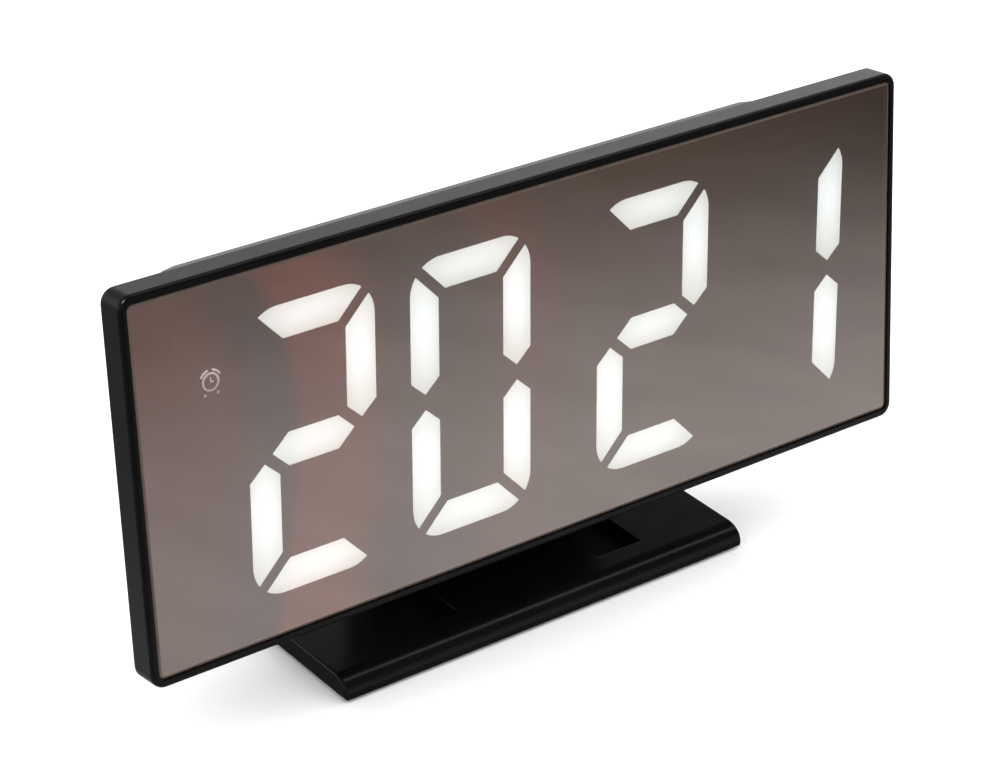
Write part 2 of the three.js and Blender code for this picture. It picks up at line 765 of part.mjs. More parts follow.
// A contact strip with one pressed cone for each cell; side is -1 at the left end, 1 at the right.
function contactStrip(side) {
  const outer = bayHalfWidth - fitGap;
  const inner = outer - contactThickness;
  const coneTip = cellLength / 2 + fitGap;
  const strip = block(
    [side > 0 ? inner : -outer, cellDepth - contactWidth / 2, bayRaise - bayHalfHeight + fitGap],
    [side > 0 ? outer : -inner, cellDepth + contactWidth / 2, bayRaise + bayHalfHeight - fitGap],
  );
  const coneLength = inner + contactThickness / 2 - coneTip;
  const cones = Array.from({ length: cellCount }, (_, k) => {
    const geometry = new THREE.CylinderGeometry(
      contactTipRadius, contactBaseRadius, coneLength, smallRoundSides,
    );
    geometry.rotateZ(side * Math.PI / 2);
    geometry.translate(side * (coneTip + coneLength / 2), cellDepth, cellHeight(k));
    return solid(geometry);
  });
  return joined(strip, ...cones);
}

// Keys

function keyCap(x) {
  const back = housingDepth + keyStand;
  return turned([
    [0, keyStemFront], [keyStemRadius, keyStemFront],
    [keyStemRadius, keyFlangeBack - keyFlangeThickness],
    [keyFlangeRadius, keyFlangeBack - keyFlangeThickness], [keyFlangeRadius, keyFlangeBack],
    [keyRadius, keyFlangeBack], [keyRadius, back - keyEdgeRadius], [keyRadius - keyEdgeRadius, back],
    [0, back],
  ], x, keyRaise);
}

function keySwitch(x) {
  const body = block(
    [x - switchSize / 2, switchFront, keyRaise - switchSize / 2],
    [x + switchSize / 2, switchFront + switchHeight, keyRaise + switchSize / 2],
  );
  const plunger = turned([
    [0, switchFront + switchHeight - joinLap], [plungerRadius, switchFront + switchHeight - joinLap],
    [plungerRadius, plungerTop], [0, plungerTop],
  ], x, keyRaise, smallRoundSides);
  return joined(body, plunger);
}

function keyBoard() {
  const board = block(
    [firstKeyX - keyBoardMargin, keyBoardFront, keyRaise - keyBoardHeight / 2],
    [keyXs().at(-1) + keyBoardMargin, keyBoardBack, keyRaise + keyBoardHeight / 2],
  );
  return cut(board, ...keyPostPlaces().map(([x, z]) => turned([
    [0, keyBoardFront - cutOverrun], [keyPostPinRadius + fitGap, keyBoardFront - cutOverrun],
    [keyPostPinRadius + fitGap, keyBoardBack + cutOverrun], [0, keyBoardBack + cutOverrun],
  ], x, z, smallRoundSides)));
}

// Power jack and buzzer

function powerJack() {
  const bodyBack = wallInside - fitGap;
  const noseBack = bodyBack + jackNoseLength;
  const boreFront = noseBack - jackBoreDepth;
  return turned([
    [0, bodyBack - jackBodyLength], [jackBodyRadius, bodyBack - jackBodyLength],
    [jackBodyRadius, bodyBack], [jackNoseRadius, bodyBack], [jackNoseRadius, noseBack],
    [jackBoreRadius, noseBack], [jackBoreRadius, boreFront], [jackPinRadius, boreFront],
    [jackPinRadius, noseBack - jackPinInset], [0, noseBack - jackPinInset],
  ], jackShift, jackRaise);
}

function buzzer() {
  const front = boardBack + fitGap;
  const back = front + buzzerHeight;
  return turned([
    [0, front], [buzzerRadius, front], [buzzerRadius, back], [buzzerHoleRadius, back],
    [buzzerHoleRadius, back - buzzerHoleDepth], [0, back - buzzerHoleDepth],
  ], buzzerShift, buzzerRaise);
}

// Fasteners

function housingScrew([x, z]) {
  const seat = frameDepth - screwSeatDepth + fitGap;
  return turned([
    [0, seat - screwShankLength], [screwShankRadius, seat - screwShankLength],
    [screwShankRadius, seat], [screwHeadRadius, seat], [screwHeadRadius, seat + screwHeadHeight],
    [0, seat + screwHeadHeight],
  ], x, z, smallRoundSides);
}

// A pin with a flat head on the side away from the clock's middle.
function hingePin(x) {
  const side = Math.sign(x);
  const headInner = x + side * (cheekHalfWidth + fitGap);
  const headOuter = headInner + side * pinHeadThickness;
  const tail = x - side * cheekHalfWidth;
  return joined(
    rod(pinRadius, Math.min(tail, headOuter), Math.max(tail, headOuter), hingeDepth, -hingeDrop,
      smallRoundSides),
    rod(pinHeadRadius, Math.min(headInner, headOuter), Math.max(headInner, headOuter), hingeDepth,
      -hingeDrop, smallRoundSides),
  );
}

// Stand, in the table's frame

function footOutline() {
  const rollHeight = footThickness - toeFaceHeight;
  const rollStart = footTop - rollHeight;
  const shape = new THREE.Shape();
  shape.moveTo(footFront + toeBevel, footBottom);
  shape.lineTo(footRear - toeBevel, footBottom);
  shape.lineTo(footRear, footBottom + toeBevel);
  shape.absellipse(footRear - toeRoll, rollStart, toeRoll, rollHeight, 0, Math.PI / 2);
  shape.absellipse(footFront + toeRoll, rollStart, toeRoll, rollHeight, Math.PI / 2, Math.PI);
  shape.lineTo(footFront, footBottom + toeBevel);
  return shape;
}

// An arm seen from the side: straight flanks from its root on the foot, tangent to the eye.
function armOutline() {
  const rootFront = new THREE.Vector2(windowRear + armRootGap, footTop - joinLap);
  const rootRear = new THREE.Vector2(rootFront.x + armRootLength, footTop - joinLap);
  const eye = new THREE.Vector2(hingeY, hingeHeight);
  const tangentAngle = (root, turn) => {
    const away = root.clone().sub(eye);
    return away.angle() + turn * Math.acos(eyeRadius / away.length());
  };
  const rearAngle = tangentAngle(rootRear, 1) - 2 * Math.PI;
  const frontAngle = tangentAngle(rootFront, -1);
  const shape = new THREE.Shape();
  shape.moveTo(rootFront.x, rootFront.y);
  shape.lineTo(rootRear.x, rootRear.y);
  shape.absarc(eye.x, eye.y, eyeRadius, rearAngle, frontAngle, false);
  return shape;
}

// The web seen from the side: its top slants so that the housing's rear face, leaning back as far as it
// goes, stays clear of it.
function webOutline() {
  const rear = webFront + webThickness;
  const rearFace = housingDepth - hingeDepth + webClearance;
  const limitAt = (y) => hingeHeight
    + ((y - hingeY) * Math.cos(fullLeanAngle) - rearFace) / Math.sin(fullLeanAngle);
  const slantEnd = hingeY + (rearFace + webTopRise * Math.sin(fullLeanAngle)) / Math.cos(fullLeanAngle);
  const shape = new THREE.Shape();
  shape.moveTo(webFront, footTop - joinLap);
  shape.lineTo(rear, footTop - joinLap);
  shape.lineTo(rear, webTop);
  shape.lineTo(slantEnd, webTop);
  shape.lineTo(webFront, limitAt(webFront));
  return shape;
}

// A rib behind the web, seen from the side.
function ribOutline() {
  const rear = webFront + webThickness + ribLength;
  const shape = new THREE.Shape();
  shape.moveTo(webFront + webThickness - joinLap, footTop - joinLap);
  shape.lineTo(rear, footTop - joinLap);
  shape.lineTo(rear, footTop);
  shape.lineTo(webFront + webThickness, webTop - ribTopDrop);
  shape.lineTo(webFront + webThickness - joinLap, webTop - ribTopDrop);
  return shape;
}

// The rubber mat under the foot, or the recess that it sits in when a gap is given.
function matBlock(gap) {
  const halfWidth = footWidth / 2 - matInset + gap;
  const halfDepth = footDepth / 2 - matInset + gap;
  return block(
    [-halfWidth, -halfDepth, gap > 0 ? -cutOverrun : 0], [halfWidth, halfDepth, matThickness + gap],
  );
}

function stand() {
  const foot = sidewaysProfile(footOutline(), footWidth, 0, footSideBevel);
  const arms = armSides().map((x) => sidewaysProfile(armOutline(), armWidth, x));
  const web = sidewaysProfile(webOutline(), armSpacing + armWidth);
  const ribs = [-1, 1].map((side) => sidewaysProfile(ribOutline(), ribThickness, side * ribSpacing / 2));
  const windows = armSides().map((x) => block(
    [x - slotHalfWidth, windowFront, -cutOverrun], [x + slotHalfWidth, windowRear, footTop + joinLap],
  ));
  const bores = armSides().map((x) => rod(
    pinRadius + fitGap, x - armWidth, x + armWidth, hingeY, hingeHeight, smallRoundSides,
  ));
  return cut(joined(foot, ...arms, web, ...ribs), ...windows, ...bores, matBlock(fitGap));
}

// Materials

function finish(color, roughness, metalness = 0, extras = {}) {
  return new THREE.MeshStandardMaterial({ color, roughness, metalness, ...extras });
}

const blackFrame = finish('#1b1b1d', 0.45);
const blackHousing = finish('#232325', 0.6);
const blackFoot = finish('#141416', 0.3);
const halfMirror = finish('#6f6660', 0.05, 0.9, { transparent: true, opacity: 0.75 });
const maskBlack = finish('#0c0c0d', 0.8);
const litResin = finish('#fbfaf4', 0.5, 0, { emissive: '#fffdf2', emissiveIntensity: 0.9 });
const smokedResin = finish('#1a1917', 0.5);
const boardGreen = finish('#1f5a3a', 0.5);
const blackCeramic = finish('#161616', 0.6);
const switchGrey = finish('#4a4b4d', 0.5);
const keyRubber = finish('#2b2b2e', 0.7);
const steel = finish('#b9bcc0', 0.35, 1);
const nickel = finish('#c9c7be', 0.3, 1);
const cellSleeve = finish('#6c7077', 0.4, 0.3);
const rubber = finish('#101010', 0.9);

// The model

const clock = new THREE.Group();
const head = new THREE.Group();
const display = new THREE.Group();

function add(group, name, body, material) {
  const mesh = new THREE.Mesh(geometryOf(body), material);
  mesh.name = name;
  group.add(mesh);
}

add(clock, 'stand', stand(), blackFoot);
add(clock, 'foot_mat', matBlock(0), rubber);

add(head, 'front_frame', frontFrame(), blackFrame);
add(head, 'mirror_pane', pane(), halfMirror);
add(display, 'reflector_block', reflectorBlock(), maskBlack);
for (const segment of segments) {
  add(display, segment.node, segmentLens(segment), segment.lit ? litResin : smokedResin);
}
for (const { node, x, z } of colonDots) {
  add(display, node, roundLens(colonDotRadius, x, z), smokedResin);
}
add(display, 'alarm_window', roundLens(alarmWindowRadius, alarmX, alarmWindowRaise), litResin);
add(display, 'main_board', mainBoard(), boardGreen);
head.add(display);

add(head, 'rear_housing', rearHousing(), blackHousing);
add(head, 'battery_door', batteryDoor(), blackHousing);
for (let k = 0; k < cellCount; k += 1) add(head, `battery_cell_${k + 1}`, cellAt(k), cellSleeve);
add(head, 'contact_strip_left', contactStrip(-1), nickel);
add(head, 'contact_strip_right', contactStrip(1), nickel);
add(head, 'buzzer', buzzer(), blackCeramic);
add(head, 'power_jack', powerJack(), blackCeramic);
add(head, 'key_board', keyBoard(), boardGreen);
keyXs().forEach((x, k) => {
  add(head, `key_switch_${k + 1}`, keySwitch(x), switchGrey);
  add(head, keyNames[k], keyCap(x), keyRubber);
});
screwPlaces.forEach((place, k) => add(head, `housing_screw_${k + 1}`, housingScrew(place), steel));
armSides().forEach((x) => {
  add(head, x < 0 ? 'hinge_pin_left' : 'hinge_pin_right', hingePin(x), steel);
});

// The head turns about the hinge axis: its inner group is set back so that the axis is the pivot.
const tilt = new THREE.Group();
head.position.set(0, -hingeDepth, hingeDrop);
tilt.add(head);
tilt.position.set(0, hingeY, hingeHeight);
tilt.rotation.x = -leanAngle;
clock.add(tilt);

export default clock;
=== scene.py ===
"""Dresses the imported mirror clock: finer frame, pane, foot and rear pieces, materials, light and camera."""

import json
import math

import bmesh
import bpy
from bpy.props import FloatProperty, FloatVectorProperty, PointerProperty
from bpy.types import Operator, Panel, PropertyGroup
from mathutils import Matrix, Vector
from mathutils.geometry import intersect_point_line


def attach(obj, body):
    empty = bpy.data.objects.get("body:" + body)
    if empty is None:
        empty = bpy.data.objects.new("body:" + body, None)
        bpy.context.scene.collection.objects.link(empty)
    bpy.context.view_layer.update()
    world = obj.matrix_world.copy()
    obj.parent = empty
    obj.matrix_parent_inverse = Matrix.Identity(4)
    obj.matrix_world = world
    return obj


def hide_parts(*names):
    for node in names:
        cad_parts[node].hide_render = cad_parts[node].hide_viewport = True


bl_info = {
    "name": "Mirror Clock Dressing",
    "version": (1, 0, 0),
    "blender": (4, 5, 0),
    "location": "3D View > Sidebar > Clock",
    "description": "Builds the fine pieces, materials, light and camera round a packed LED mirror clock",
    "category": "Object",
}

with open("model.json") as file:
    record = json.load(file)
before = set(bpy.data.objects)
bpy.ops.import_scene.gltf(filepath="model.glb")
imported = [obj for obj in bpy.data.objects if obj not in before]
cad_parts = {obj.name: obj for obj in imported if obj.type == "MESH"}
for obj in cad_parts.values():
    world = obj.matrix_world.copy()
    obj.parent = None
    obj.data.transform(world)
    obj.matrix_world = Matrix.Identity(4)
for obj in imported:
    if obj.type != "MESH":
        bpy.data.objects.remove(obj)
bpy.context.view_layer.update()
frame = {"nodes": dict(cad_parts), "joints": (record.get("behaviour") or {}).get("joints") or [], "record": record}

MM = 0.001

# The camera at the photograph's angle: its place in metres, the right and down directions of its picture,
# and its lens and sensor in millimetres
CAMERA_PLACE = Vector((-0.32445, -0.40027, 0.32548))
CAMERA_RIGHT = Vector((0.7878, -0.6144, 0.0438)).normalized()
CAMERA_DOWN = Vector((-0.2681, -0.4059, -0.8737)).normalized()
CAMERA_LENS, CAMERA_SENSOR = 109.85, 36
CAMERA_NEAR, CAMERA_FAR = 0.01, 30

# Stage, in metres
FLOOR_SIZE = 20.0
BACKDROP_RADIUS, BACKDROP_HEIGHT = 9.0, 8.0
CLOCK_MIDDLE = (0.0, 0.0, 0.05)
DAYLIGHT_PLACE = (0.3, 0.4, 2.0)
WINDOW_PLACE, WINDOW_SIZE = (0.7, 0.05, 1.15), 0.8
KEY_PLACE, KEY_RADIUS, KEY_CONE = (-0.67, -0.2, 1.12), 0.004, math.radians(1)

# Corners closer than this many millimetres are one, faces that turn by less than the first angle, in
# degrees, are one, and an edge that turns by more than the second is a hard one.
WELD = 0.002
FLAT_ANGLE = 0.4
HARD_ANGLE = 32

# Most values of a noise texture lie between these.
NOISE_LOW, NOISE_HIGH = 0.3, 0.7

ACRYLIC_IOR = 1.49

# The head leans: its own right, depth and up directions come from the battery door's slide.
DOOR_SLIDE = next(j for j in frame["joints"] if j["name"] == "battery_door_slide")
HEAD_X = Vector((1, 0, 0))
HEAD_UP = Vector(DOOR_SLIDE["axis"]).normalized()
HEAD_DEPTH = HEAD_UP.cross(HEAD_X)


def head_span(node):
    """Lowest and highest corner of a CAD node in the head's directions, in metres from the origin."""
    corners = [v.co for v in frame["nodes"][node].data.vertices]
    axes = (HEAD_X, HEAD_DEPTH, HEAD_UP)
    spans = [[corner.dot(axis) for corner in corners] for axis in axes]
    return Vector(min(s) for s in spans), Vector(max(s) for s in spans)


PANE_LOW, PANE_HIGH = head_span("mirror_pane")
HEAD_ORIGIN = (
    HEAD_X * (PANE_LOW.x + PANE_HIGH.x) / 2
    + HEAD_DEPTH * PANE_LOW.y
    + HEAD_UP * (PANE_LOW.z + PANE_HIGH.z) / 2
)
# Head coordinates, x right, y into the clock and z up the pane from the middle of its front, to the
# whole frame's.
HEAD_MATRIX = Matrix((HEAD_X, HEAD_DEPTH, HEAD_UP)).transposed().to_4x4()
HEAD_MATRIX.translation = HEAD_ORIGIN


def head_height(z):
    """Height above the pane's middle, in millimetres, of a height in metres along the head's up."""
    return (z - HEAD_ORIGIN.dot(HEAD_UP)) / MM


def head_middle(node):
    """Middle of a node across and up the pane, in millimetres from the pane's middle."""
    low, high = head_span(node)
    return (low.x + high.x) / 2 / MM, head_height((low.z + high.z) / 2)


def half_size(node):
    """Half the width and half the height of a node in the head's directions, in millimetres."""
    low, high = head_span(node)
    return (high.x - low.x) / 2 / MM, (high.z - low.z) / 2 / MM


def head_front(node):
    """Depth of a node's foremost face behind the pane's front, in millimetres."""
    return (head_span(node)[0].y - PANE_LOW.y) / MM


def head_back(node):
    """Depth of a node's rearmost face behind the pane's front, in millimetres."""
    return (head_span(node)[1].y - PANE_LOW.y) / MM


# Small tools


def linear(hex_colour):
    """An sRGB hex colour as linear red, green, blue and 1."""
    channels = [int(hex_colour[i : i + 2], 16) / 255 for i in (1, 3, 5)]
    return (*(c / 12.92 if c <= 0.04045 else ((c + 0.055) / 1.055) ** 2.4 for c in channels), 1.0)


def add_node(tree, kind, inputs=(), **settings):
    """Adds a node with its settings. Inputs, by name or in order, are each given a value, the output
    socket that feeds it, or the node whose first output does."""
    node = tree.nodes.new(kind)
    for name, value in settings.items():
        setattr(node, name, value)
    for name, value in inputs.items() if isinstance(inputs, dict) else enumerate(inputs):
        if isinstance(value, bpy.types.Node):
            value = value.outputs[0]
        if isinstance(value, bpy.types.NodeSocket):
            tree.links.new(value, node.inputs[name])
        else:
            node.inputs[name].default_value = value
    return node


def new_material(name):
    """An empty node material, its tree, and the socket with a piece's own coordinates in metres."""
    material = bpy.data.materials.new(name)
    material.use_nodes = True
    tree = material.node_tree
    tree.nodes.clear()
    return material, tree, add_node(tree, "ShaderNodeTexCoord").outputs["Object"]


def close_surface(tree, inputs):
    """Ends a material's tree with its shader, given the shader's inputs."""
    shader = add_node(tree, "ShaderNodeBsdfPrincipled", inputs)
    add_node(tree, "ShaderNodeOutputMaterial", {"Surface": shader})


def wandering(tree, points, size, low, high, detail=2.0):
    """A value that wanders from low to high over blotches of the given size in millimetres."""
    cloud = add_node(
        tree, "ShaderNodeTexNoise", {"Vector": points, "Scale": 1 / (size * MM), "Detail": detail}
    )
    return add_node(tree, "ShaderNodeMapRange", (cloud, NOISE_LOW, NOISE_HIGH, low, high))


def mottled(tree, points, size, dark, light, detail=2.0):
    """A colour that wanders between two sRGB hex colours over blotches of the given size in millimetres."""
    share = wandering(tree, points, size, 0.0, 1.0, detail)
    inputs = {0: share, 6: linear(dark), 7: linear(light)}
    return add_node(tree, "ShaderNodeMix", inputs, data_type="RGBA").outputs[2]


def grained(tree, points, size, depth, detail=1.0):
    """A normal broken up by a grain of the given size and depth in millimetres."""
    height = wandering(tree, points, size, 0.0, 1.0, detail)
    return add_node(tree, "ShaderNodeBump", {"Height": height, "Distance": depth * MM})


# Materials. Real moulding grain, rubber bloom and hairlines are about 0.05 mm apart, too fine to show here,
# so each is drawn as coarse as it needs to show, at the size in millimetres that its line gives.


def moulded_abs(name, dark, light, gloss, grain, depth, shine=0.5):
    """Injection-moulded ABS. The mould's spark-eroded skin gives a fine grain that breaks up its shine,
    and handling leaves faint blotches in it. Its gloss is given as its lowest and highest roughness."""
    material, tree, points = new_material(name)
    close_surface(
        tree,
        {
            "Base Color": mottled(tree, points, 9.0, dark, light, 3.0),
            "Roughness": wandering(tree, points, 7.0, *gloss, 3.0),
            "IOR": 1.54,
            "Specular IOR Level": shine,
            "Normal": grained(tree, points, grain, depth),
        },
    )
    return material


def half_mirror_acrylic(colour, cover):
    """Acrylic sheet with a thin metal film: the film shows the room in brown-grey, and lets strong light
    from behind through. Faint fingermarks change its shine and a slow ripple bends what it shows."""
    material, tree, points = new_material("half_mirror_acrylic")
    close_surface(
        tree,
        {
            "Base Color": colour,
            "Metallic": 1.0,
            "Roughness": wandering(tree, points, 14.0, 0.02, 0.06, 4.0),
            "Alpha": cover,
            "Normal": grained(tree, points, 45.0, 0.01, 0.0),
        },
    )
    return material


def clear_acrylic():
    """The sheet's back, which carries no film: clear, with only a faint grey haze of its own."""
    material, tree, points = new_material("clear_cast_acrylic")
    close_surface(
        tree,
        {
            "Base Color": linear("#8d8a86"),
            "Roughness": wandering(tree, points, 20.0, 0.03, 0.08),
            "Alpha": 0.04,
            "IOR": ACRYLIC_IOR,
        },
    )
    return material


def ground_acrylic(dark, light):
    """The sheet's ground rim, where the film has been taken off: dull brown-grey with a fine bloom."""
    material, tree, points = new_material("ground_acrylic_edge")
    close_surface(
        tree,
        {
            "Base Color": mottled(tree, points, 4.0, dark, light),
            "Roughness": wandering(tree, points, 1.2, 0.3, 0.45),
            "IOR": ACRYLIC_IOR,
        },
    )
    return material


def lit_resin(name, centre, edge, strength, fall):
    """Milky resin with a light-emitting diode behind its middle: brightest there, and dimmer towards its
    ends, down to the given share of its strength."""
    material, tree, points = new_material(name)
    generated = add_node(tree, "ShaderNodeTexCoord").outputs["Generated"]
    middle = add_node(
        tree, "ShaderNodeMapping", {"Vector": generated, "Location": (-1, -1, -1), "Scale": (2, 2, 2)}
    )
    reach = add_node(tree, "ShaderNodeVectorMath", (middle,), operation="LENGTH").outputs["Value"]
    # How far out, in half sizes, the light starts to fall and where it is least
    bright_until, dim_from = 0.25, 1.45
    glow = add_node(tree, "ShaderNodeMapRange", (reach, bright_until, dim_from, 1.0, 0.0))
    inputs = {0: glow, 6: linear(edge), 7: linear(centre)}
    tint = add_node(tree, "ShaderNodeMix", inputs, data_type="RGBA").outputs[2]
    close_surface(
        tree,
        {
            "Base Color": mottled(tree, points, 3.0, "#e4e3dc", "#eeede7"),
            "Roughness": 0.5,
            "Emission Color": tint,
            "Emission Strength": add_node(
                tree, "ShaderNodeMapRange", (glow, 0.0, 1.0, strength * fall, strength)
            ),
        },
    )
    return material


def lit_print(strength, fall):
    """A sign left clear in the screen print, lit from one diode above it, so that it fades downwards."""
    material, tree, points = new_material("lit_screen_print_gap")
    generated = add_node(tree, "ShaderNodeTexCoord").outputs["Generated"]
    height = add_node(tree, "ShaderNodeSeparateXYZ", (generated,)).outputs["Z"]
    close_surface(
        tree,
        {
            "Base Color": mottled(tree, points, 1.0, "#8b8a86", "#9b9a96"),
            "Roughness": 0.5,
            "Emission Color": linear("#fffdfb"),
            "Emission Strength": add_node(
                tree, "ShaderNodeMapRange", (height, 0.0, 1.0, strength * fall, strength)
            ),
        },
    )
    return material


def print_and_painted_shade_resin():
    """Milky resin that isn't lit, dull and almost black: on the print's edges and the alarm window it is the dark
    screen print, and on the unlit segments, which are pale resin, it is painted shade, as they sit in shade behind
    the mirror.
    """
    material, tree, points = new_material("print_and_painted_shade_resin")
    close_surface(
        tree,
        {"Base Color": mottled(tree, points, 3.0, "#0a0a0a", "#121211"), "Roughness": 0.6},
    )
    return material


def silicone_rubber(name, dark, light, grain):
    """Moulded rubber: a soft even sheen over a fine bloom."""
    material, tree, points = new_material(name)
    close_surface(
        tree,
        {
            "Base Color": mottled(tree, points, 6.0, dark, light),
            "Roughness": wandering(tree, points, grain, 0.6, 0.8),
            "IOR": 1.41,
            "Normal": grained(tree, points, grain, 0.02, 2.0),
        },
    )
    return material


def pad_print():
    """Pale ink pressed on with a pad: flat, a little uneven, without shine."""
    material, tree, points = new_material("pad_printed_ink")
    close_surface(
        tree,
        {"Base Color": mottled(tree, points, 0.8, "#a9aaab", "#b9babb"), "Roughness": 0.7},
    )
    return material


def plated_metal(name, colour, gloss):
    """Plated metal: bright, with hairlines that blur its reflections along one way."""
    material, tree, points = new_material(name)
    length, slimness = 1.5, 12
    drawn_out = add_node(tree, "ShaderNodeMapping", {"Vector": points, "Scale": (1, slimness, slimness)})
    close_surface(
        tree,
        {
            "Base Color": linear(colour),
            "Metallic": 1.0,
            "Roughness": wandering(tree, drawn_out, length, *gloss, 3.0),
            "Normal": grained(tree, drawn_out, length, 0.004, 3.0),
        },
    )
    return material


def solder_mask_board():
    """Glass-fibre board under green solder mask: glossy, with the weave's 0.5 mm threads showing faintly."""
    material, tree, points = new_material("solder_mask_board")
    thread = 0.5 * MM
    weave = add_node(tree, "ShaderNodeTexChecker", {"Vector": points, "Scale": 1 / thread})
    close_surface(
        tree,
        {
            "Base Color": mottled(tree, points, 4.0, "#123f28", "#1b5637"),
            "Roughness": 0.32,
            "Normal": add_node(
                tree, "ShaderNodeBump", {"Height": weave.outputs["Fac"], "Distance": 0.01 * MM}
            ),
        },
    )
    return material


def lacquered_sleeve():
    """Steel cell can under a plain lacquered sleeve: satin grey with a faint metal shine."""
    material, tree, points = new_material("lacquered_cell_sleeve")
    close_surface(
        tree,
        {
            "Base Color": mottled(tree, points, 0.6, "#5d6167", "#74787e"),
            "Metallic": 0.4,
            "Roughness": 0.38,
        },
    )
    return material


# Pieces made from the frame's nodes


def body_of(node):
    """The name of the body that holds a CAD node."""
    bodies = frame["record"]["behaviour"]["bodies"]
    return next(body for body, members in bodies.items() if node in members)


def slot_of(node):
    """The record's material slot of a CAD node."""
    return next(s["material_slot"] for s in frame["record"]["subparts"] if s["node"] == node)


def new_object(name, bm):
    """Turns a mesh in the whole frame's coordinates into an object of the scene."""
    mesh = bpy.data.meshes.new(name)
    bm.to_mesh(mesh)
    bm.free()
    made = bpy.data.objects.new(name, mesh)
    bpy.context.scene.collection.objects.link(made)
    return made


def place(name, bm, node, material, replaced=()):
    """Makes a piece from a mesh and hangs it on the body of the node it belongs to."""
    piece = new_object(name, bm)
    piece.data.shade_smooth()
    for each in material if isinstance(material, (list, tuple)) else (material,):
        piece.data.materials.append(each)
    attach(piece, body_of(node))
    if replaced:
        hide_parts(*replaced)
    return piece


def crowded(edge, others, reach):
    """Whether another edge that shares no corner with this one passes its middle within a distance."""
    middle = (edge.verts[0].co + edge.verts[1].co) / 2
    for other in others:
        if set(other.verts) & set(edge.verts):
            continue
        near, share = intersect_point_line(middle, other.verts[0].co, other.verts[1].co)
        if 0 <= share <= 1 and (near - middle).length < reach:
            return True
    return False


def whole_faces(node, **limits):
    """A copy of a CAD node's mesh with its corners welded and its flat faces made whole."""
    bm = bmesh.new()
    bm.from_mesh(frame["nodes"][node].data)
    bmesh.ops.remove_doubles(bm, verts=bm.verts, dist=WELD * MM)
    bmesh.ops.dissolve_limit(
        bm, angle_limit=math.radians(FLAT_ANGLE), verts=bm.verts, edges=bm.edges, **limits
    )
    return bm


def softened(node, name, material, edge):
    """A piece that replaces a CAD node, with its hard edges rounded off by the given millimetres, as
    moulded edges are, where there is room for the rounding."""
    bm = whole_faces(node, delimit={"NORMAL"})
    hard = [e for e in bm.edges if e.is_manifold and e.calc_face_angle(0) > math.radians(HARD_ANGLE)]
    roomy = [e for e in hard if not crowded(e, hard, 2 * edge * MM)]
    bmesh.ops.bevel(
        bm,
        geom=roomy,
        offset=edge * MM,
        offset_type="OFFSET",
        segments=2,
        profile=0.5,
        affect="EDGES",
        clamp_overlap=False,
    )
    piece = place(name, bm, node, material, [node])
    # Wide faces weigh more than the narrow ones of a rounding, so that they look flat.
    smoothing = piece.modifiers.new("even_faces", "WEIGHTED_NORMAL")
    smoothing.keep_sharp = True
    smoothing.weight = 80


def finish_node(node, material):
    """Gives a CAD node that stays its material."""
    slots = frame["nodes"][node].data.materials
    slots.clear()
    slots.append(material)


def rounded_ring(half_width, half_height, radius, depth, steps=10):
    """Points of a rounded rectangle round the pane's middle, at a depth, given in millimetres."""
    points = []
    for corner, (side_x, side_z) in enumerate(((1, 1), (-1, 1), (-1, -1), (1, -1))):
        middle = (side_x * (half_width - radius), side_z * (half_height - radius))
        points += arc_points(*middle, radius, 90 * corner, 90 * corner + 90, steps)
    return head_points(points, depth)


def loft(bm, rings, closed=False):
    """Walls between rings of points, front to back, with a flat face at either end unless it is closed."""
    made = [[bm.verts.new(point) for point in ring] for ring in rings]
    pairs = list(zip(made, made[1:])) + ([(made[-1], made[0])] if closed else [])
    for front, back in pairs:
        for k in range(len(front)):
            after = (k + 1) % len(front)
            bm.faces.new((front[k], front[after], back[after], back[k]))
    if not closed:
        bm.faces.new(list(reversed(made[0])))
        bm.faces.new(made[-1])
    bmesh.ops.recalc_face_normals(bm, faces=bm.faces)


def sharpen(piece, degrees):
    """Keeps the edges of a placed piece hard where they turn by more than an angle."""
    piece.data.set_sharp_from_angle(angle=math.radians(degrees))


def flat_prism(bm, outline, front, back):
    """A closed prism in the head's coordinates, in millimetres, from an anticlockwise x-z outline."""
    rings = [[bm.verts.new(point) for point in head_points(outline, y)] for y in (front, back)]
    bm.faces.new(rings[0])
    bm.faces.new(list(reversed(rings[1])))
    for k in range(len(outline)):
        after = (k + 1) % len(outline)
        bm.faces.new((rings[0][after], rings[0][k], rings[1][k], rings[1][after]))


def head_points(outline, depth):
    """Turns an x-z outline at a depth, in millimetres in the head's coordinates, into the whole frame's."""
    return [HEAD_MATRIX @ Vector((x * MM, depth * MM, z * MM)) for x, z in outline]


def grown(outline, distance):
    """An anticlockwise outline with its edges moved outwards by a distance, or inwards if negative."""
    moved = []
    for k in range(len(outline)):
        nearby = (outline[k - 1], outline[k], outline[(k + 1) % len(outline)])
        before, here, after = (Vector(point) for point in nearby)
        first, second = (here - before).normalized(), (after - here).normalized()
        outwards = Vector((first.y + second.y, -first.x - second.x))
        moved.append(tuple(here + outwards * distance / (1 + first.dot(second))))
    return moved


def arc_points(x, z, radius, start, end, steps):
    """Points along an arc, angles in degrees."""
    angles = [math.radians(start + (end - start) * k / steps) for k in range(steps + 1)]
    return [(x + radius * math.cos(a), z + radius * math.sin(a)) for a in angles]


def band(x, z, inner, outer, start, end, steps=24):
    """The outline of a curved band between two radii."""
    return arc_points(x, z, outer, start, end, steps) + arc_points(x, z, inner, end, start, steps)


def bar(start, end, width):
    """The outline of a straight bar between two points."""
    a, b = Vector(start), Vector(end)
    along = (b - a).normalized()
    side = Vector((-along.y, along.x)) * width / 2
    return [tuple(p) for p in (a - side, b - side, b + side, a + side)]


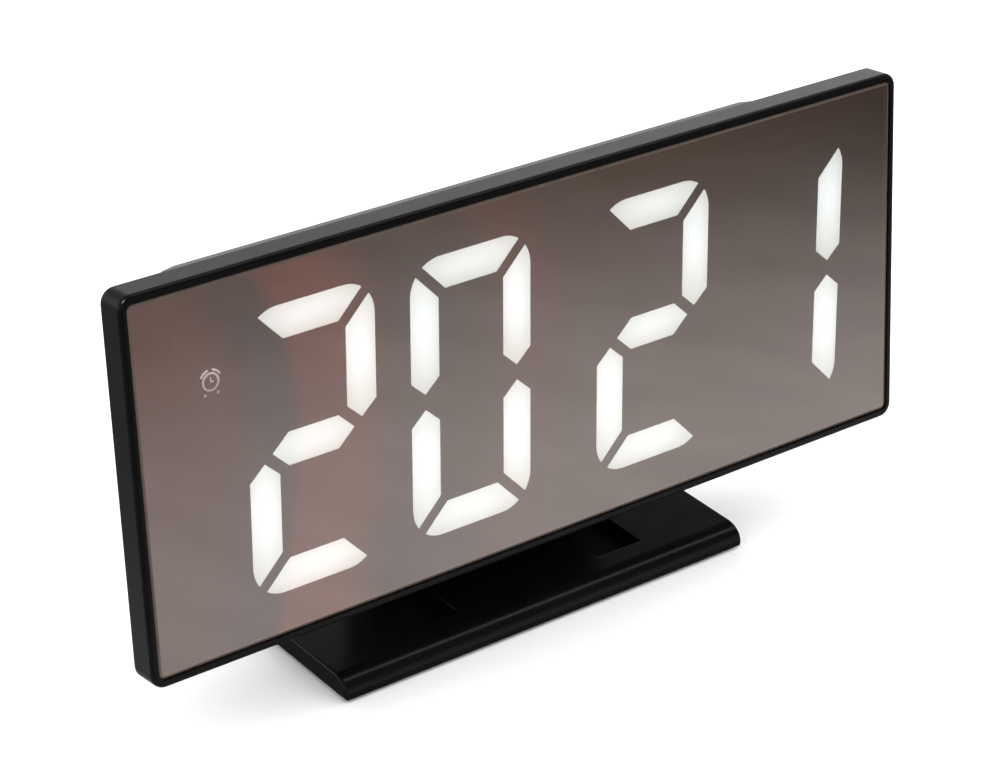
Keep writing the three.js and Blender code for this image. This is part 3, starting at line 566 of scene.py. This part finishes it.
# Marks on the keys, in millimetres from a key's middle: a dial with hands, and arrows up and down
DIAL_RADII = (1.15, 1.4)
HAND_WIDTH = 0.2
KEY_MARKS = {
    "mode_button": [
        band(0, 0, *DIAL_RADII, 0, 180),
        band(0, 0, *DIAL_RADII, 180, 360),
        bar((0, -0.1), (0, 0.8), HAND_WIDTH),
        bar((-0.1, 0), (-0.6, 0), HAND_WIDTH),
    ],
    "up_button": [[(-1.1, -0.7), (1.1, -0.7), (0, 1.1)]],
    "down_button": [[(1.1, 0.7), (-1.1, 0.7), (0, -1.1)]],
}


# Settings


class ClockStageSettings(PropertyGroup):
    """The floor and the lights"""

    floor_colour: FloatVectorProperty(
        name="Floor Colour",
        description="Colour of the pale floor",
        subtype="COLOR",
        size=3,
        min=0,
        max=1,
        default=linear("#fbfbfb")[:3],
    )
    daylight: FloatProperty(
        name="Daylight",
        description="Strength of the even light from above that whitens the floor",
        default=4.5,
        min=0,
    )
    daylight_spread: FloatProperty(
        name="Daylight Spread",
        description="Angle that the light from above comes from, which softens the shadows",
        subtype="ANGLE",
        default=math.radians(150),
        min=0,
        max=math.pi,
    )
    card_power: FloatProperty(
        name="Window Card",
        description="Power of the small window that the foot's rounded edge shows",
        unit="POWER",
        default=2.2,
        min=0,
    )
    lamp_power: FloatProperty(
        name="Key Lamp",
        description="Power of the narrow lamp that leaves a point of light on the frame's corner",
        unit="POWER",
        default=60.0,
        min=0,
    )
    sky: FloatProperty(
        name="Room Light",
        description="Strength of the light from the pale wall behind the clock",
        default=1.25,
        min=0,
    )


class ClockFrameSettings(PropertyGroup):
    """The front frame"""

    roll: FloatProperty(
        name="Rim Rounding",
        description="Rounding of the frame's front edge, in millimetres",
        default=0.85,
        min=0.3,
        max=1.0,
    )
    edge: FloatProperty(
        name="Edge Break",
        description="Small chamfer round the pane and the rear opening, in millimetres",
        default=0.15,
        min=0.05,
        max=0.4,
    )


class ClockPaneSettings(PropertyGroup):
    """The half-mirror pane"""

    colour: FloatVectorProperty(
        name="Mirror Colour",
        description="Colour of the metal film on the pane",
        subtype="COLOR",
        size=3,
        min=0,
        max=1,
        default=linear("#cbbfba")[:3],
    )
    cover: FloatProperty(
        name="Mirror Cover",
        description="Share of the light from behind that the film holds back",
        subtype="FACTOR",
        default=0.66,
        min=0,
        max=1,
    )
    chamfer: FloatProperty(
        name="Edge Chamfer",
        description="Depth of the sheet's ground rim, in millimetres",
        default=0.15,
        min=0.05,
        max=0.4,
    )
    bare: FloatProperty(
        name="Bare Rim",
        description="Width of the ground rim that carries no film, in millimetres",
        default=0.5,
        min=0.2,
        max=1,
    )


class ClockDisplaySettings(PropertyGroup):
    """The lit segments and the print over them"""

    strength: FloatProperty(
        name="Segment Light",
        description="Strength of a lit segment behind the mirror",
        default=2.28,
        min=0,
    )
    lap: FloatProperty(
        name="Print Lap",
        description="How far the screen print laps over each segment's edge, in millimetres",
        default=0.28,
        min=0.1,
        max=0.6,
    )


class ClockHousingSettings(PropertyGroup):
    """The rear housing"""

    edge: FloatProperty(
        name="Edge Rounding",
        description="Rounding of the housing's moulded edges, in millimetres",
        default=0.14,
        min=0.05,
        max=0.4,
    )


class ClockStandSettings(PropertyGroup):
    """The foot"""

    edge: FloatProperty(
        name="Edge Rounding",
        description="Rounding of the foot's moulded edges, in millimetres",
        default=0.2,
        min=0.05,
        max=0.4,
    )


# Operators


class CLOCK_OT_stage(Operator):
    """Makes the camera, the pale floor, the room that the mirror shows and the soft studio light"""

    bl_idname = "clock.stage"
    bl_label = "Stage"

    def execute(self, context):
        settings = context.scene.clock_stage
        scene = context.scene

        lens = bpy.data.cameras.new("camera")
        lens.sensor_width = CAMERA_SENSOR
        lens.lens = CAMERA_LENS
        lens.clip_start, lens.clip_end = CAMERA_NEAR, CAMERA_FAR
        camera = bpy.data.objects.new("camera", lens)
        axes = (CAMERA_RIGHT, -CAMERA_DOWN, CAMERA_RIGHT.cross(-CAMERA_DOWN))
        turn = Matrix(axes).transposed().to_4x4()
        turn.translation = CAMERA_PLACE
        camera.matrix_world = turn
        scene.collection.objects.link(camera)
        scene.camera = camera

        floor = self.sheet("floor", 0.0)
        floor.visible_glossy = False
        material, tree, points = new_material("matt_white_paper")
        close_surface(
            tree,
            {
                "Base Color": (*settings.floor_colour, 1),
                "Roughness": wandering(tree, points, 30.0, 0.85, 0.95),
                "Specular IOR Level": 0.0,
            },
        )
        floor.data.materials.append(material)

        # What the mirror and the gloss of the plastic show of the room: a table that darkens away from
        # the clock. It lies under the floor, which reflections pass through.
        room = self.sheet("room_table", -1 * MM)
        room.data.materials.append(self.room_material())
        room.visible_diffuse = room.visible_shadow = room.visible_camera = False
        backdrop = self.backdrop()

        # The even daylight only lights surfaces. The gloss of the plastic shows the two other lamps.
        daylight = self.lamp("daylight", "SUN", DAYLIGHT_PLACE, CLOCK_MIDDLE, settings.daylight)
        daylight.data.angle = settings.daylight_spread
        daylight.visible_glossy = False
        window = self.lamp("window_card", "AREA", WINDOW_PLACE, CLOCK_MIDDLE, settings.card_power)
        window.data.size = WINDOW_SIZE
        # The narrow lamp points just outside the frame's upper left corner, clear of the housing.
        rim_low, rim_high = head_span("front_frame")
        corner = HEAD_X * rim_low.x + HEAD_DEPTH * rim_low.y + HEAD_UP * rim_high.z
        aim = corner + Vector((-4, -4, 0)) * MM
        key = self.lamp("key_lamp", "SPOT", KEY_PLACE, aim, settings.lamp_power)
        key.data.spot_size = KEY_CONE
        key.data.shadow_soft_size = KEY_RADIUS
        key.visible_diffuse = False

        world = bpy.data.worlds.new("room")
        world.use_nodes = True
        world.node_tree.nodes.clear()
        self.room_light(world.node_tree, settings.sky)
        scene.world = world
        return {"FINISHED"}

    def room_light(self, tree, sky):
        """A pale wall all round, brightest behind the clock, under a ceiling that is darker on the right."""
        direction = add_node(tree, "ShaderNodeTexCoord").outputs["Generated"]
        parts = add_node(tree, "ShaderNodeSeparateXYZ", (direction,))
        rightwards, upwards, backwards = (0.46, 0.56), (0.28, 0.46), (-0.5, 0.5)
        left_ceiling, right_ceiling, front_wall = 0.22, 0.03, 0.3
        turn = (parts.outputs["X"], *rightwards, left_ceiling, right_ceiling)
        ceiling = add_node(tree, "ShaderNodeMapRange", turn)
        wall = add_node(tree, "ShaderNodeMapRange", (parts.outputs["Z"], *upwards, 1.0, ceiling))
        turn = (parts.outputs["Y"], *backwards, front_wall, 1.0)
        behind = add_node(tree, "ShaderNodeMapRange", turn)
        share = add_node(tree, "ShaderNodeMath", (wall, behind), operation="MULTIPLY")
        strength = add_node(tree, "ShaderNodeMath", (share, sky), operation="MULTIPLY")
        light = add_node(tree, "ShaderNodeBackground", (linear("#f6f6f8"), strength))
        add_node(tree, "ShaderNodeOutputWorld", {"Surface": light})

    def sheet(self, name, height):
        """A flat square as large as the floor, at a height in metres."""
        bm = bmesh.new()
        bmesh.ops.create_grid(bm, x_segments=1, y_segments=1, size=FLOOR_SIZE / 2)
        bmesh.ops.translate(bm, verts=bm.verts, vec=(0, 0, height))
        return new_object(name, bm)

    def backdrop(self):
        """A pale paper wall far round the clock, which only the camera sees."""
        bm = bmesh.new()
        bmesh.ops.create_cone(
            bm, segments=96, radius1=BACKDROP_RADIUS, radius2=BACKDROP_RADIUS, depth=BACKDROP_HEIGHT
        )
        wall = new_object("backdrop", bm)
        material, tree, _ = new_material("backdrop_paper")
        light = add_node(tree, "ShaderNodeEmission", (linear("#f4f4f4"), 1.0))
        add_node(tree, "ShaderNodeOutputMaterial", {"Surface": light})
        wall.data.materials.append(material)
        wall.visible_diffuse = wall.visible_glossy = wall.visible_shadow = False
        wall.visible_transmission = False
        return wall

    def lamp(self, name, kind, where, target, power):
        """A lamp that points from one place at another, both in metres."""
        light = bpy.data.lights.new(name, kind)
        light.energy = power
        lamp = bpy.data.objects.new(name, light)
        lamp.location = where
        lamp.rotation_euler = (Vector(target) - Vector(where)).to_track_quat("-Z", "Y").to_euler()
        bpy.context.scene.collection.objects.link(lamp)
        return lamp

    def room_material(self):
        """A pale tablecloth that grows browner and darker towards the viewer and falls into shade on the
        right. Warm folds lie over it like rays, so that the mirror shows them upright."""
        material, tree, points = new_material("room_tablecloth")
        split = add_node(tree, "ShaderNodeSeparateXYZ", (points,))
        across, away = split.outputs["X"], split.outputs["Y"]
        black, near_black = linear("#000000"), linear("#0c0c0d")

        # Where a point shows in the mirror: place runs from 0 at its left edge to 1 at its right, and
        # near from 0 at its top to 1 at its bottom. These are where the mirror's top and bottom show the
        # table, and where its left edge and its width do at either, in metres.
        top, bottom = -0.32, -0.07
        left_edge, shown_width = (0.078, -0.063), (0.301, 0.196)
        near = add_node(tree, "ShaderNodeMapRange", (away, top, bottom, 0.0, 1.0))
        start = add_node(tree, "ShaderNodeMapRange", (near, 0.0, 1.0, *left_edge))
        width = add_node(tree, "ShaderNodeMapRange", (near, 0.0, 1.0, *shown_width))
        offset = add_node(tree, "ShaderNodeMath", (across, start), operation="SUBTRACT")
        place = add_node(tree, "ShaderNodeMath", (offset, width), operation="DIVIDE")

        # The cloth's colour far from and near the clock, each turning between two places
        pair = []
        for turn, left, right in (((0.33, 0.6), "#8d8583", "#81736a"), ((0.1, 0.5), "#c5c4c5", "#d2d1d1")):
            rightwards = add_node(tree, "ShaderNodeMapRange", (place, *turn, 0.0, 1.0))
            inputs = {0: rightwards, 6: linear(left), 7: linear(right)}
            pair.append(add_node(tree, "ShaderNodeMix", inputs, data_type="RGBA").outputs[2])
        far_end, near_end = -0.34, -0.065
        nearness = add_node(
            tree, "ShaderNodeMapRange", (away, far_end, near_end, 0.0, 1.0), interpolation_type="SMOOTHSTEP"
        )
        cloth = add_node(tree, "ShaderNodeMix", {0: nearness, 6: pair[0], 7: pair[1]}, data_type="RGBA")

        # The shade on the right, which ends towards the clock
        shade_start, shade_top, darkest = 0.55, 0.25, 0.5
        depth_of_shade = add_node(tree, "ShaderNodeMapRange", (near, shade_top, 1.0, darkest, 0.0))
        into_shade = add_node(tree, "ShaderNodeMapRange", (place, shade_start, 1.0, 0.0, 1.0))
        shade = add_node(tree, "ShaderNodeMath", (depth_of_shade, into_shade), operation="MULTIPLY")

        # A dark mat to the left, which only the frame's left side shows
        mat_edge, mat_cover = (-0.4, -0.1), 0.5
        mat = add_node(tree, "ShaderNodeMapRange", (place, *mat_edge, mat_cover, 0.0))

        # The clock's own soft shade on the table, round a foot of this half width and half depth
        foot_half, shade_edge, contact = (0.05, 0.025), (0.005, 0.03), 0.8
        beyond = []
        for distance, half in ((across, foot_half[0]), (away, foot_half[1])):
            distance = add_node(tree, "ShaderNodeMath", (distance,), operation="ABSOLUTE")
            beyond.append(add_node(tree, "ShaderNodeMath", (distance, -half), operation="ADD"))
        clear = add_node(tree, "ShaderNodeMath", beyond, operation="MAXIMUM")
        under = add_node(tree, "ShaderNodeMapRange", (clear, *shade_edge, contact, 0.0))
        for share, colour in ((shade, black), (mat, near_black), (under, near_black)):
            inputs = {0: share, 6: cloth.outputs[2], 7: colour}
            cloth = add_node(tree, "ShaderNodeMix", inputs, data_type="RGBA")

        # The folds bow to the left half way down, and their tint multiplies the cloth's colour. Each has
        # where its left edge rises and its right edge falls, its strength, and how it fades downwards.
        half_turn, bow_width = math.pi, -0.042
        tint = (1.5, 1.05, 0.98, 1.0)
        sway = add_node(tree, "ShaderNodeMath", (near, half_turn), operation="MULTIPLY")
        bow = add_node(tree, "ShaderNodeMath", (sway,), operation="SINE")
        bowed = add_node(tree, "ShaderNodeMath", (bow, bow_width, place), operation="MULTIPLY_ADD")
        long_end = add_node(tree, "ShaderNodeMapRange", (near, 0.2, 0.5, 1.0, 0.55))
        medium_end = add_node(tree, "ShaderNodeMapRange", (near, 0.2, 0.8, 1.0, 0.3))
        for left, right, strength, end in (
            ((0.134, 0.15), (0.21, 0.275), 1.0, long_end),
            ((-0.1, -0.05), (0.05, 0.1), 0.55, medium_end),
            ((0.38, 0.42), (0.45, 0.5), 0.4, medium_end),
        ):
            rise = add_node(tree, "ShaderNodeMapRange", (bowed, *left, 0.0, strength))
            fall = add_node(tree, "ShaderNodeMapRange", (bowed, *right, 1.0, 0.0))
            fold = add_node(tree, "ShaderNodeMath", (rise, fall), operation="MULTIPLY")
            weight = add_node(tree, "ShaderNodeMath", (fold, end), operation="MULTIPLY")
            inputs = {0: weight, 6: cloth.outputs[2], 7: tint}
            cloth = add_node(tree, "ShaderNodeMix", inputs, data_type="RGBA", blend_type="MULTIPLY")

        # Soft blotches, and the light of the window that the table reaches behind the clock
        blotch, dull, bright, window_light = 24.0, 0.92, 1.05, 2.0
        drawn_out = add_node(tree, "ShaderNodeMapping", {"Vector": points, "Scale": (1, 0.4, 1)})
        blotches = wandering(tree, drawn_out, blotch, dull, bright, 3.0)
        window = add_node(tree, "ShaderNodeMapRange", (away, 0.1, 0.6, 1.0, window_light))
        strength = add_node(tree, "ShaderNodeMath", (blotches, window), operation="MULTIPLY")
        light = add_node(tree, "ShaderNodeEmission", (cloth.outputs[2], strength))
        add_node(tree, "ShaderNodeOutputMaterial", {"Surface": light})
        return material


class CLOCK_OT_frame(Operator):
    """Makes the black front frame with its moulded edges"""

    bl_idname = "clock.frame"
    bl_label = "Front Frame"

    def execute(self, context):
        settings = context.scene.clock_frame
        plastic = moulded_abs(
            "satin_moulded_abs", "#040404", "#070707", gloss=(0.26, 0.3), grain=0.5, depth=0.006, shine=0.18
        )
        half_width, half_height = half_size("front_frame")
        pane_half, block_half = half_size("mirror_pane"), half_size("reflector_block")
        front, back = head_front("front_frame"), head_back("front_frame")
        edge, roll, roll_steps = settings.edge, settings.roll, 8
        corner, seat_corner, opening_corner = 2.8, 1.2, 5.5
        # The rounding of the rear edge, and how far the middle of it lies inwards
        rear_edge, rear_middle = 0.4, 0.12
        # The gap round the block, the play round the pane, and a flat strip beside a rounding, which
        # keeps its shading even
        gap, snug, support = 0.3, 0.12, 0.25
        ledge = (head_back("mirror_pane") + gap, head_front("rear_housing") - gap)

        def outer(inset, depth):
            return rounded_ring(half_width - inset, half_height - inset, corner - inset, depth)

        def seat(inset, depth):
            out = snug + inset
            return rounded_ring(pane_half[0] + out, pane_half[1] + out, seat_corner + inset, depth)

        def opening(depth):
            return rounded_ring(block_half[0] + gap, block_half[1] + gap, opening_corner, depth)

        turns = [math.pi / 2 * k / roll_steps for k in range(roll_steps + 1)]
        rings = [outer(roll * (1 - math.sin(a)), front + roll * (1 - math.cos(a))) for a in turns]
        rings += [outer(0, front + roll + support), outer(0, back - rear_edge - support)]
        rings += [outer(0, back - rear_edge), outer(rear_middle, back - rear_middle)]
        rings += [outer(rear_edge, back), seat(edge, back), seat(0, back - edge), seat(0, ledge[1])]
        rings += [opening(ledge[1]), opening(ledge[0])]
        rings += [seat(0, ledge[0]), seat(0, front + edge), seat(edge, front)]
        bm = bmesh.new()
        loft(bm, rings, closed=True)
        rim = place("frame_rim", bm, "front_frame", plastic, ["front_frame"])
        sharpen(rim, 40)
        return {"FINISHED"}


class CLOCK_OT_pane(Operator):
    """Makes the half-mirror pane with its ground edge"""

    bl_idname = "clock.pane"
    bl_label = "Mirror Pane"

    def execute(self, context):
        settings = context.scene.clock_pane
        film = half_mirror_acrylic((*settings.colour, 1), settings.cover)
        rim = ground_acrylic("#574a42", "#61544b")
        half_width, half_height = half_size("mirror_pane")
        thickness = head_back("mirror_pane")
        chamfer, bare, corner, level = settings.chamfer, settings.bare, 1.1, 0.999
        bm = bmesh.new()
        loft(
            bm,
            [
                rounded_ring(half_width - inset, half_height - inset, corner - inset, depth)
                for inset, depth in ((bare, 0), (0, chamfer), (0, thickness))
            ],
        )
        for face in bm.faces:
            face.normal_update()
            backwards = face.normal.dot(HEAD_DEPTH)
            if backwards < -level:
                face.material_index = 0
            else:
                face.material_index = 2 if backwards > level else 1
        sheet = place("mirror_sheet", bm, "mirror_pane", [film, rim, clear_acrylic()], ["mirror_pane"])
        sharpen(sheet, 5)
        return {"FINISHED"}


class CLOCK_OT_display(Operator):
    """Lights the segments and makes the alarm sign and the dark block round them"""

    bl_idname = "clock.display"
    bl_label = "Display"

    def execute(self, context):
        settings = context.scene.clock_display
        lit = lit_resin("milky_resin_lit", "#f0fcff", "#f9fff9", settings.strength, fall=0.55)
        dark = print_and_painted_shade_resin()
        inserts = [n for n in frame["nodes"] if "_segment_" in n or n.startswith("colon_dot")]
        # Unlit segments get the near-black resin as painted shade: they lie in shade behind the mirror.
        for node in inserts:
            finish_node(node, lit if slot_of(node) == "lit_resin" else dark)
        self.print_edges([n for n in inserts if slot_of(n) == "lit_resin"], settings.lap, dark)
        finish_node("alarm_window", dark)
        mask = moulded_abs(
            "matt_black_moulding", "#060606", "#090909", gloss=(0.7, 0.85), grain=0.8, depth=0.02
        )
        finish_node("reflector_block", mask)
        finish_node("main_board", solder_mask_board())
        self.alarm_sign()
        return {"FINISHED"}

    def print_edges(self, nodes, lap, material):
        """The edge of the screen print, which laps over each lit segment and gives it its outline."""
        reach, front, back = 0.5, -0.08, -0.03
        bm = bmesh.new()
        for node in nodes:
            outline, skin = self.front_outline(node), head_front(node)
            outer, inner = grown(outline, reach), grown(outline, -lap)
            rings = [head_points(outer, skin + front), head_points(outer, skin + back)]
            rings += [head_points(inner, skin + back), head_points(inner, skin + front)]
            loft(bm, rings, closed=True)
        place("segment_print", bm, "reflector_block", material).data.shade_flat()

    def front_outline(self, node):
        """The outline of a segment's front, in millimetres about the middle of the pane."""
        bm = whole_faces(node)
        front = max(bm.faces, key=lambda face: -face.normal.dot(HEAD_DEPTH) * face.calc_area())
        corners = [HEAD_MATRIX.inverted() @ corner.vert.co for corner in front.loops]
        bm.free()
        return [(corner.x / MM, corner.z / MM) for corner in corners]

    def alarm_sign(self):
        """A ringing alarm clock of plain shapes: ring, two bells, two feet and two hands."""
        x, z = head_middle("alarm_window")
        ring, bell, foot, stroke = (1.38, 1.76), (2.04, 2.42), 0.3, 0.22
        bell_turn, bell_half, foot_out, foot_down = 36, 25, 1.35, 2.3
        minute_hand, hour_hand, tail = 0.85, 0.7, 0.1
        front, back = 1.58, 1.68
        shapes = [band(x, z, *ring, 0, 180), band(x, z, *ring, 180, 360)]
        for side in (-1, 1):
            middle = 90 - side * bell_turn
            shapes.append(band(x, z, *bell, middle - bell_half, middle + bell_half, 12))
            shapes.append(arc_points(x + side * foot_out, z - foot_down, foot, 0, 360, 16)[:-1])
        shapes.append(bar((x, z - tail), (x, z + minute_hand), stroke))
        shapes.append(bar((x - tail, z), (x + hour_hand, z), stroke))
        bm = bmesh.new()
        for outline in shapes:
            flat_prism(bm, outline, front, back)
        bmesh.ops.recalc_face_normals(bm, faces=bm.faces)
        sign = place("alarm_sign", bm, "alarm_window", lit_print(strength=1.0, fall=0.3))
        sign.data.shade_flat()


class CLOCK_OT_housing(Operator):
    """Makes the rear housing, the battery door and the screws"""

    bl_idname = "clock.housing"
    bl_label = "Rear Housing"

    def execute(self, context):
        edge = context.scene.clock_housing.edge
        plastic = moulded_abs(
            "spark_eroded_abs", "#161617", "#1b1b1c", gloss=(0.38, 0.42), grain=0.6, depth=0.02
        )
        softened("rear_housing", "housing_shell", plastic, edge)
        softened("battery_door", "door_cover", plastic, edge)
        steel = plated_metal("nickel_plated_steel", "#c3c4c4", gloss=(0.22, 0.36))
        for k in range(1, 5):
            self.screw(f"housing_screw_{k}", f"screw_{k}", steel)

        # A raised arrow above the door's ridges shows which way it slides.
        rise, half_width, length, sunk, proud = 17.4, 1.6, 2.8, 0.1, 0.3
        skin = head_back("rear_housing")
        base = head_height(head_span("battery_door")[0].z) + rise
        bm = bmesh.new()
        arrow = [(-half_width, base), (half_width, base), (0, base + length)]
        flat_prism(bm, arrow, skin - sunk, skin + proud)
        place("door_arrow", bm, "battery_door", plastic)
        return {"FINISHED"}

    def screw(self, node, name, steel):
        """A pan-headed screw with a cross recess, lofted along its own axis."""
        x, z = head_middle(node)
        tip, top = head_front(node), head_back(node)
        head, shank, head_depth, point = half_size(node)[0], 0.8, 0.8, (0.4, 0.5)
        # The recess: half the width of an arm, its reach, its depth and how far it narrows downwards
        arm, reach, deep, narrowed = 0.3, 1.2, 0.5, 0.6
        # The head's dome, by its inset and how far below the top it lies
        dome = ((0, 0.35), (0.12, 0.1), (0.4, 0))
        corner = math.degrees(math.asin(arm / reach))
        angles = [
            90 * quarter + turn for quarter in range(4) for turn in (-45, -30, -corner, 0, corner, 30)
        ]

        def ring(radius, depth):
            return head_points([arc_points(x, z, radius, a, a, 1)[0] for a in angles], depth)

        def cross(share, depth):
            points = []
            for angle in angles:
                off_arm = abs((angle + 45) % 90 - 45)
                side = math.sin(math.radians(off_arm))
                radius = share * (reach if side * reach <= arm * 1.001 else arm / side)
                points.append(arc_points(x, z, radius, angle, angle, 1)[0])
            return head_points(points, depth)

        seat = top - head_depth
        rings = [ring(shank * point[0], tip), ring(shank, tip + point[1]), ring(shank, seat)]
        rings += [ring(head, seat), *(ring(head - inset, top - drop) for inset, drop in dome)]
        rings += [cross(1, top), cross(narrowed, top - deep)]
        bm = bmesh.new()
        loft(bm, rings)
        sharpen(place(name, bm, node, steel, [node]), 30)


class CLOCK_OT_keys(Operator):
    """Makes the three rear keys, their switches and their board"""

    bl_idname = "clock.keys"
    bl_label = "Keys"

    def execute(self, context):
        rubber = silicone_rubber("silicone_key_rubber", "#202023", "#29292c", grain=0.7)
        ink = pad_print()
        edge, sunk, proud = 0.12, 0.03, 0.04
        for node, outlines in KEY_MARKS.items():
            softened(node, f"{node}_cap", rubber, edge)
            x, z = head_middle(node)
            skin = head_back(node)
            bm = bmesh.new()
            for outline in outlines:
                moved = [(x + along, z + up) for along, up in outline]
                flat_prism(bm, moved, skin - sunk, skin + proud)
            bmesh.ops.recalc_face_normals(bm, faces=bm.faces)
            place(f"{node}_mark", bm, node, ink).data.shade_flat()
        switch = moulded_abs(
            "glass_filled_nylon", "#3e3f41", "#48494b", gloss=(0.5, 0.6), grain=0.8, depth=0.01
        )
        for k in (1, 2, 3):
            finish_node(f"key_switch_{k}", switch)
        finish_node("key_board", solder_mask_board())
        return {"FINISHED"}


class CLOCK_OT_power(Operator):
    """Finishes the cells, contacts, power jack and buzzer"""

    bl_idname = "clock.power"
    bl_label = "Power and Sound"

    def execute(self, context):
        sleeve = lacquered_sleeve()
        for k in (1, 2, 3):
            finish_node(f"battery_cell_{k}", sleeve)
        strip = plated_metal("nickel_plated_spring_strip", "#c9c6bd", gloss=(0.18, 0.3))
        finish_node("contact_strip_left", strip)
        finish_node("contact_strip_right", strip)
        black = moulded_abs(
            "black_pbt_moulding", "#0c0c0c", "#121212", gloss=(0.4, 0.5), grain=0.7, depth=0.01
        )
        finish_node("buzzer", black)
        softened("power_jack", "jack_barrel", black, edge=0.1)
        self.jack_metal(plated_metal("nickel_plated_brass", "#cdc9be", gloss=(0.15, 0.25)))
        return {"FINISHED"}

    def jack_metal(self, metal):
        """The jack's plated pin and the spring sleeve inside its bore."""
        x, z = head_middle("power_jack")
        nose = head_back("power_jack")
        bore_depth = 7.4
        floor = nose - bore_depth
        # The pin by its radius and how far it ends below the nose, and the sleeve's two radii and its end
        pin = ((0.95, 1.6), (0.85, 1.4), (0.6, 1.3))
        outside, inside, sleeve_end = 2.88, 2.7, nose - 0.8

        def ring(radius, depth):
            return head_points(arc_points(x, z, radius, 0, 360, 32)[:-1], depth)

        bm = bmesh.new()
        loft(bm, [ring(pin[0][0], floor), *(ring(radius, nose - drop) for radius, drop in pin)])
        sharpen(place("jack_pin", bm, "power_jack", metal), 40)
        bm = bmesh.new()
        rings = [ring(outside, floor), ring(outside, sleeve_end)]
        rings += [ring(inside, sleeve_end), ring(inside, floor)]
        loft(bm, rings, closed=True)
        sharpen(place("jack_sleeve", bm, "power_jack", metal), 40)


class CLOCK_OT_stand(Operator):
    """Makes the foot with its arms, the rubber mat and the hinge pins"""

    bl_idname = "clock.stand"
    bl_label = "Stand"

    def execute(self, context):
        edge, mat_edge, pin_edge = context.scene.clock_stand.edge, 0.15, 0.12
        plastic = moulded_abs(
            "polished_moulded_abs", "#0a0a0a", "#0d0d0d", (0.18, 0.22), grain=0.7, depth=0.005, shine=0.26
        )
        softened("stand", "foot_and_arms", plastic, edge)
        rubber = silicone_rubber("nitrile_rubber_mat", "#0b0b0b", "#111111", grain=0.9)
        softened("foot_mat", "foot_pad", rubber, mat_edge)
        steel = plated_metal("zinc_plated_pin_steel", "#b7b9bb", gloss=(0.3, 0.42))
        for side in ("left", "right"):
            softened(f"hinge_pin_{side}", f"tilt_pin_{side}", steel, pin_edge)
        return {"FINISHED"}


PIECE_OPERATORS = (
    CLOCK_OT_stage,
    CLOCK_OT_frame,
    CLOCK_OT_pane,
    CLOCK_OT_display,
    CLOCK_OT_housing,
    CLOCK_OT_keys,
    CLOCK_OT_power,
    CLOCK_OT_stand,
)
SETTINGS = {
    "clock_stage": ClockStageSettings,
    "clock_frame": ClockFrameSettings,
    "clock_pane": ClockPaneSettings,
    "clock_display": ClockDisplaySettings,
    "clock_housing": ClockHousingSettings,
    "clock_stand": ClockStandSettings,
}


class CLOCK_PT_sidebar(Panel):
    """Lists the clock's settings and the buttons that build its pieces"""

    bl_idname = "CLOCK_PT_sidebar"
    bl_label = "Mirror Clock"
    bl_space_type = "VIEW_3D"
    bl_region_type = "UI"
    bl_category = "Clock"

    def draw(self, context):
        for name, kind in SETTINGS.items():
            box = self.layout.box()
            for setting in kind.__annotations__:
                box.prop(getattr(context.scene, name), setting)
        for operator in PIECE_OPERATORS:
            self.layout.operator(operator.bl_idname)


CLASSES = (*SETTINGS.values(), *PIECE_OPERATORS, CLOCK_PT_sidebar)


def register():
    """Registers the classes and hangs the settings on the scene"""
    for kind in CLASSES:
        bpy.utils.register_class(kind)
    for name, kind in SETTINGS.items():
        setattr(bpy.types.Scene, name, PointerProperty(type=kind))


def unregister():
    """Takes the settings and the classes away again"""
    for name in SETTINGS:
        delattr(bpy.types.Scene, name)
    for kind in reversed(CLASSES):
        bpy.utils.unregister_class(kind)


def main():
    """Builds the stage and every piece"""
    register()
    bpy.context.scene.view_settings.view_transform = "Standard"
    for operator in PIECE_OPERATORS:
        group, name = operator.bl_idname.split(".")
        getattr(getattr(bpy.ops, group), name)()


if __name__ == "__main__":
    main()
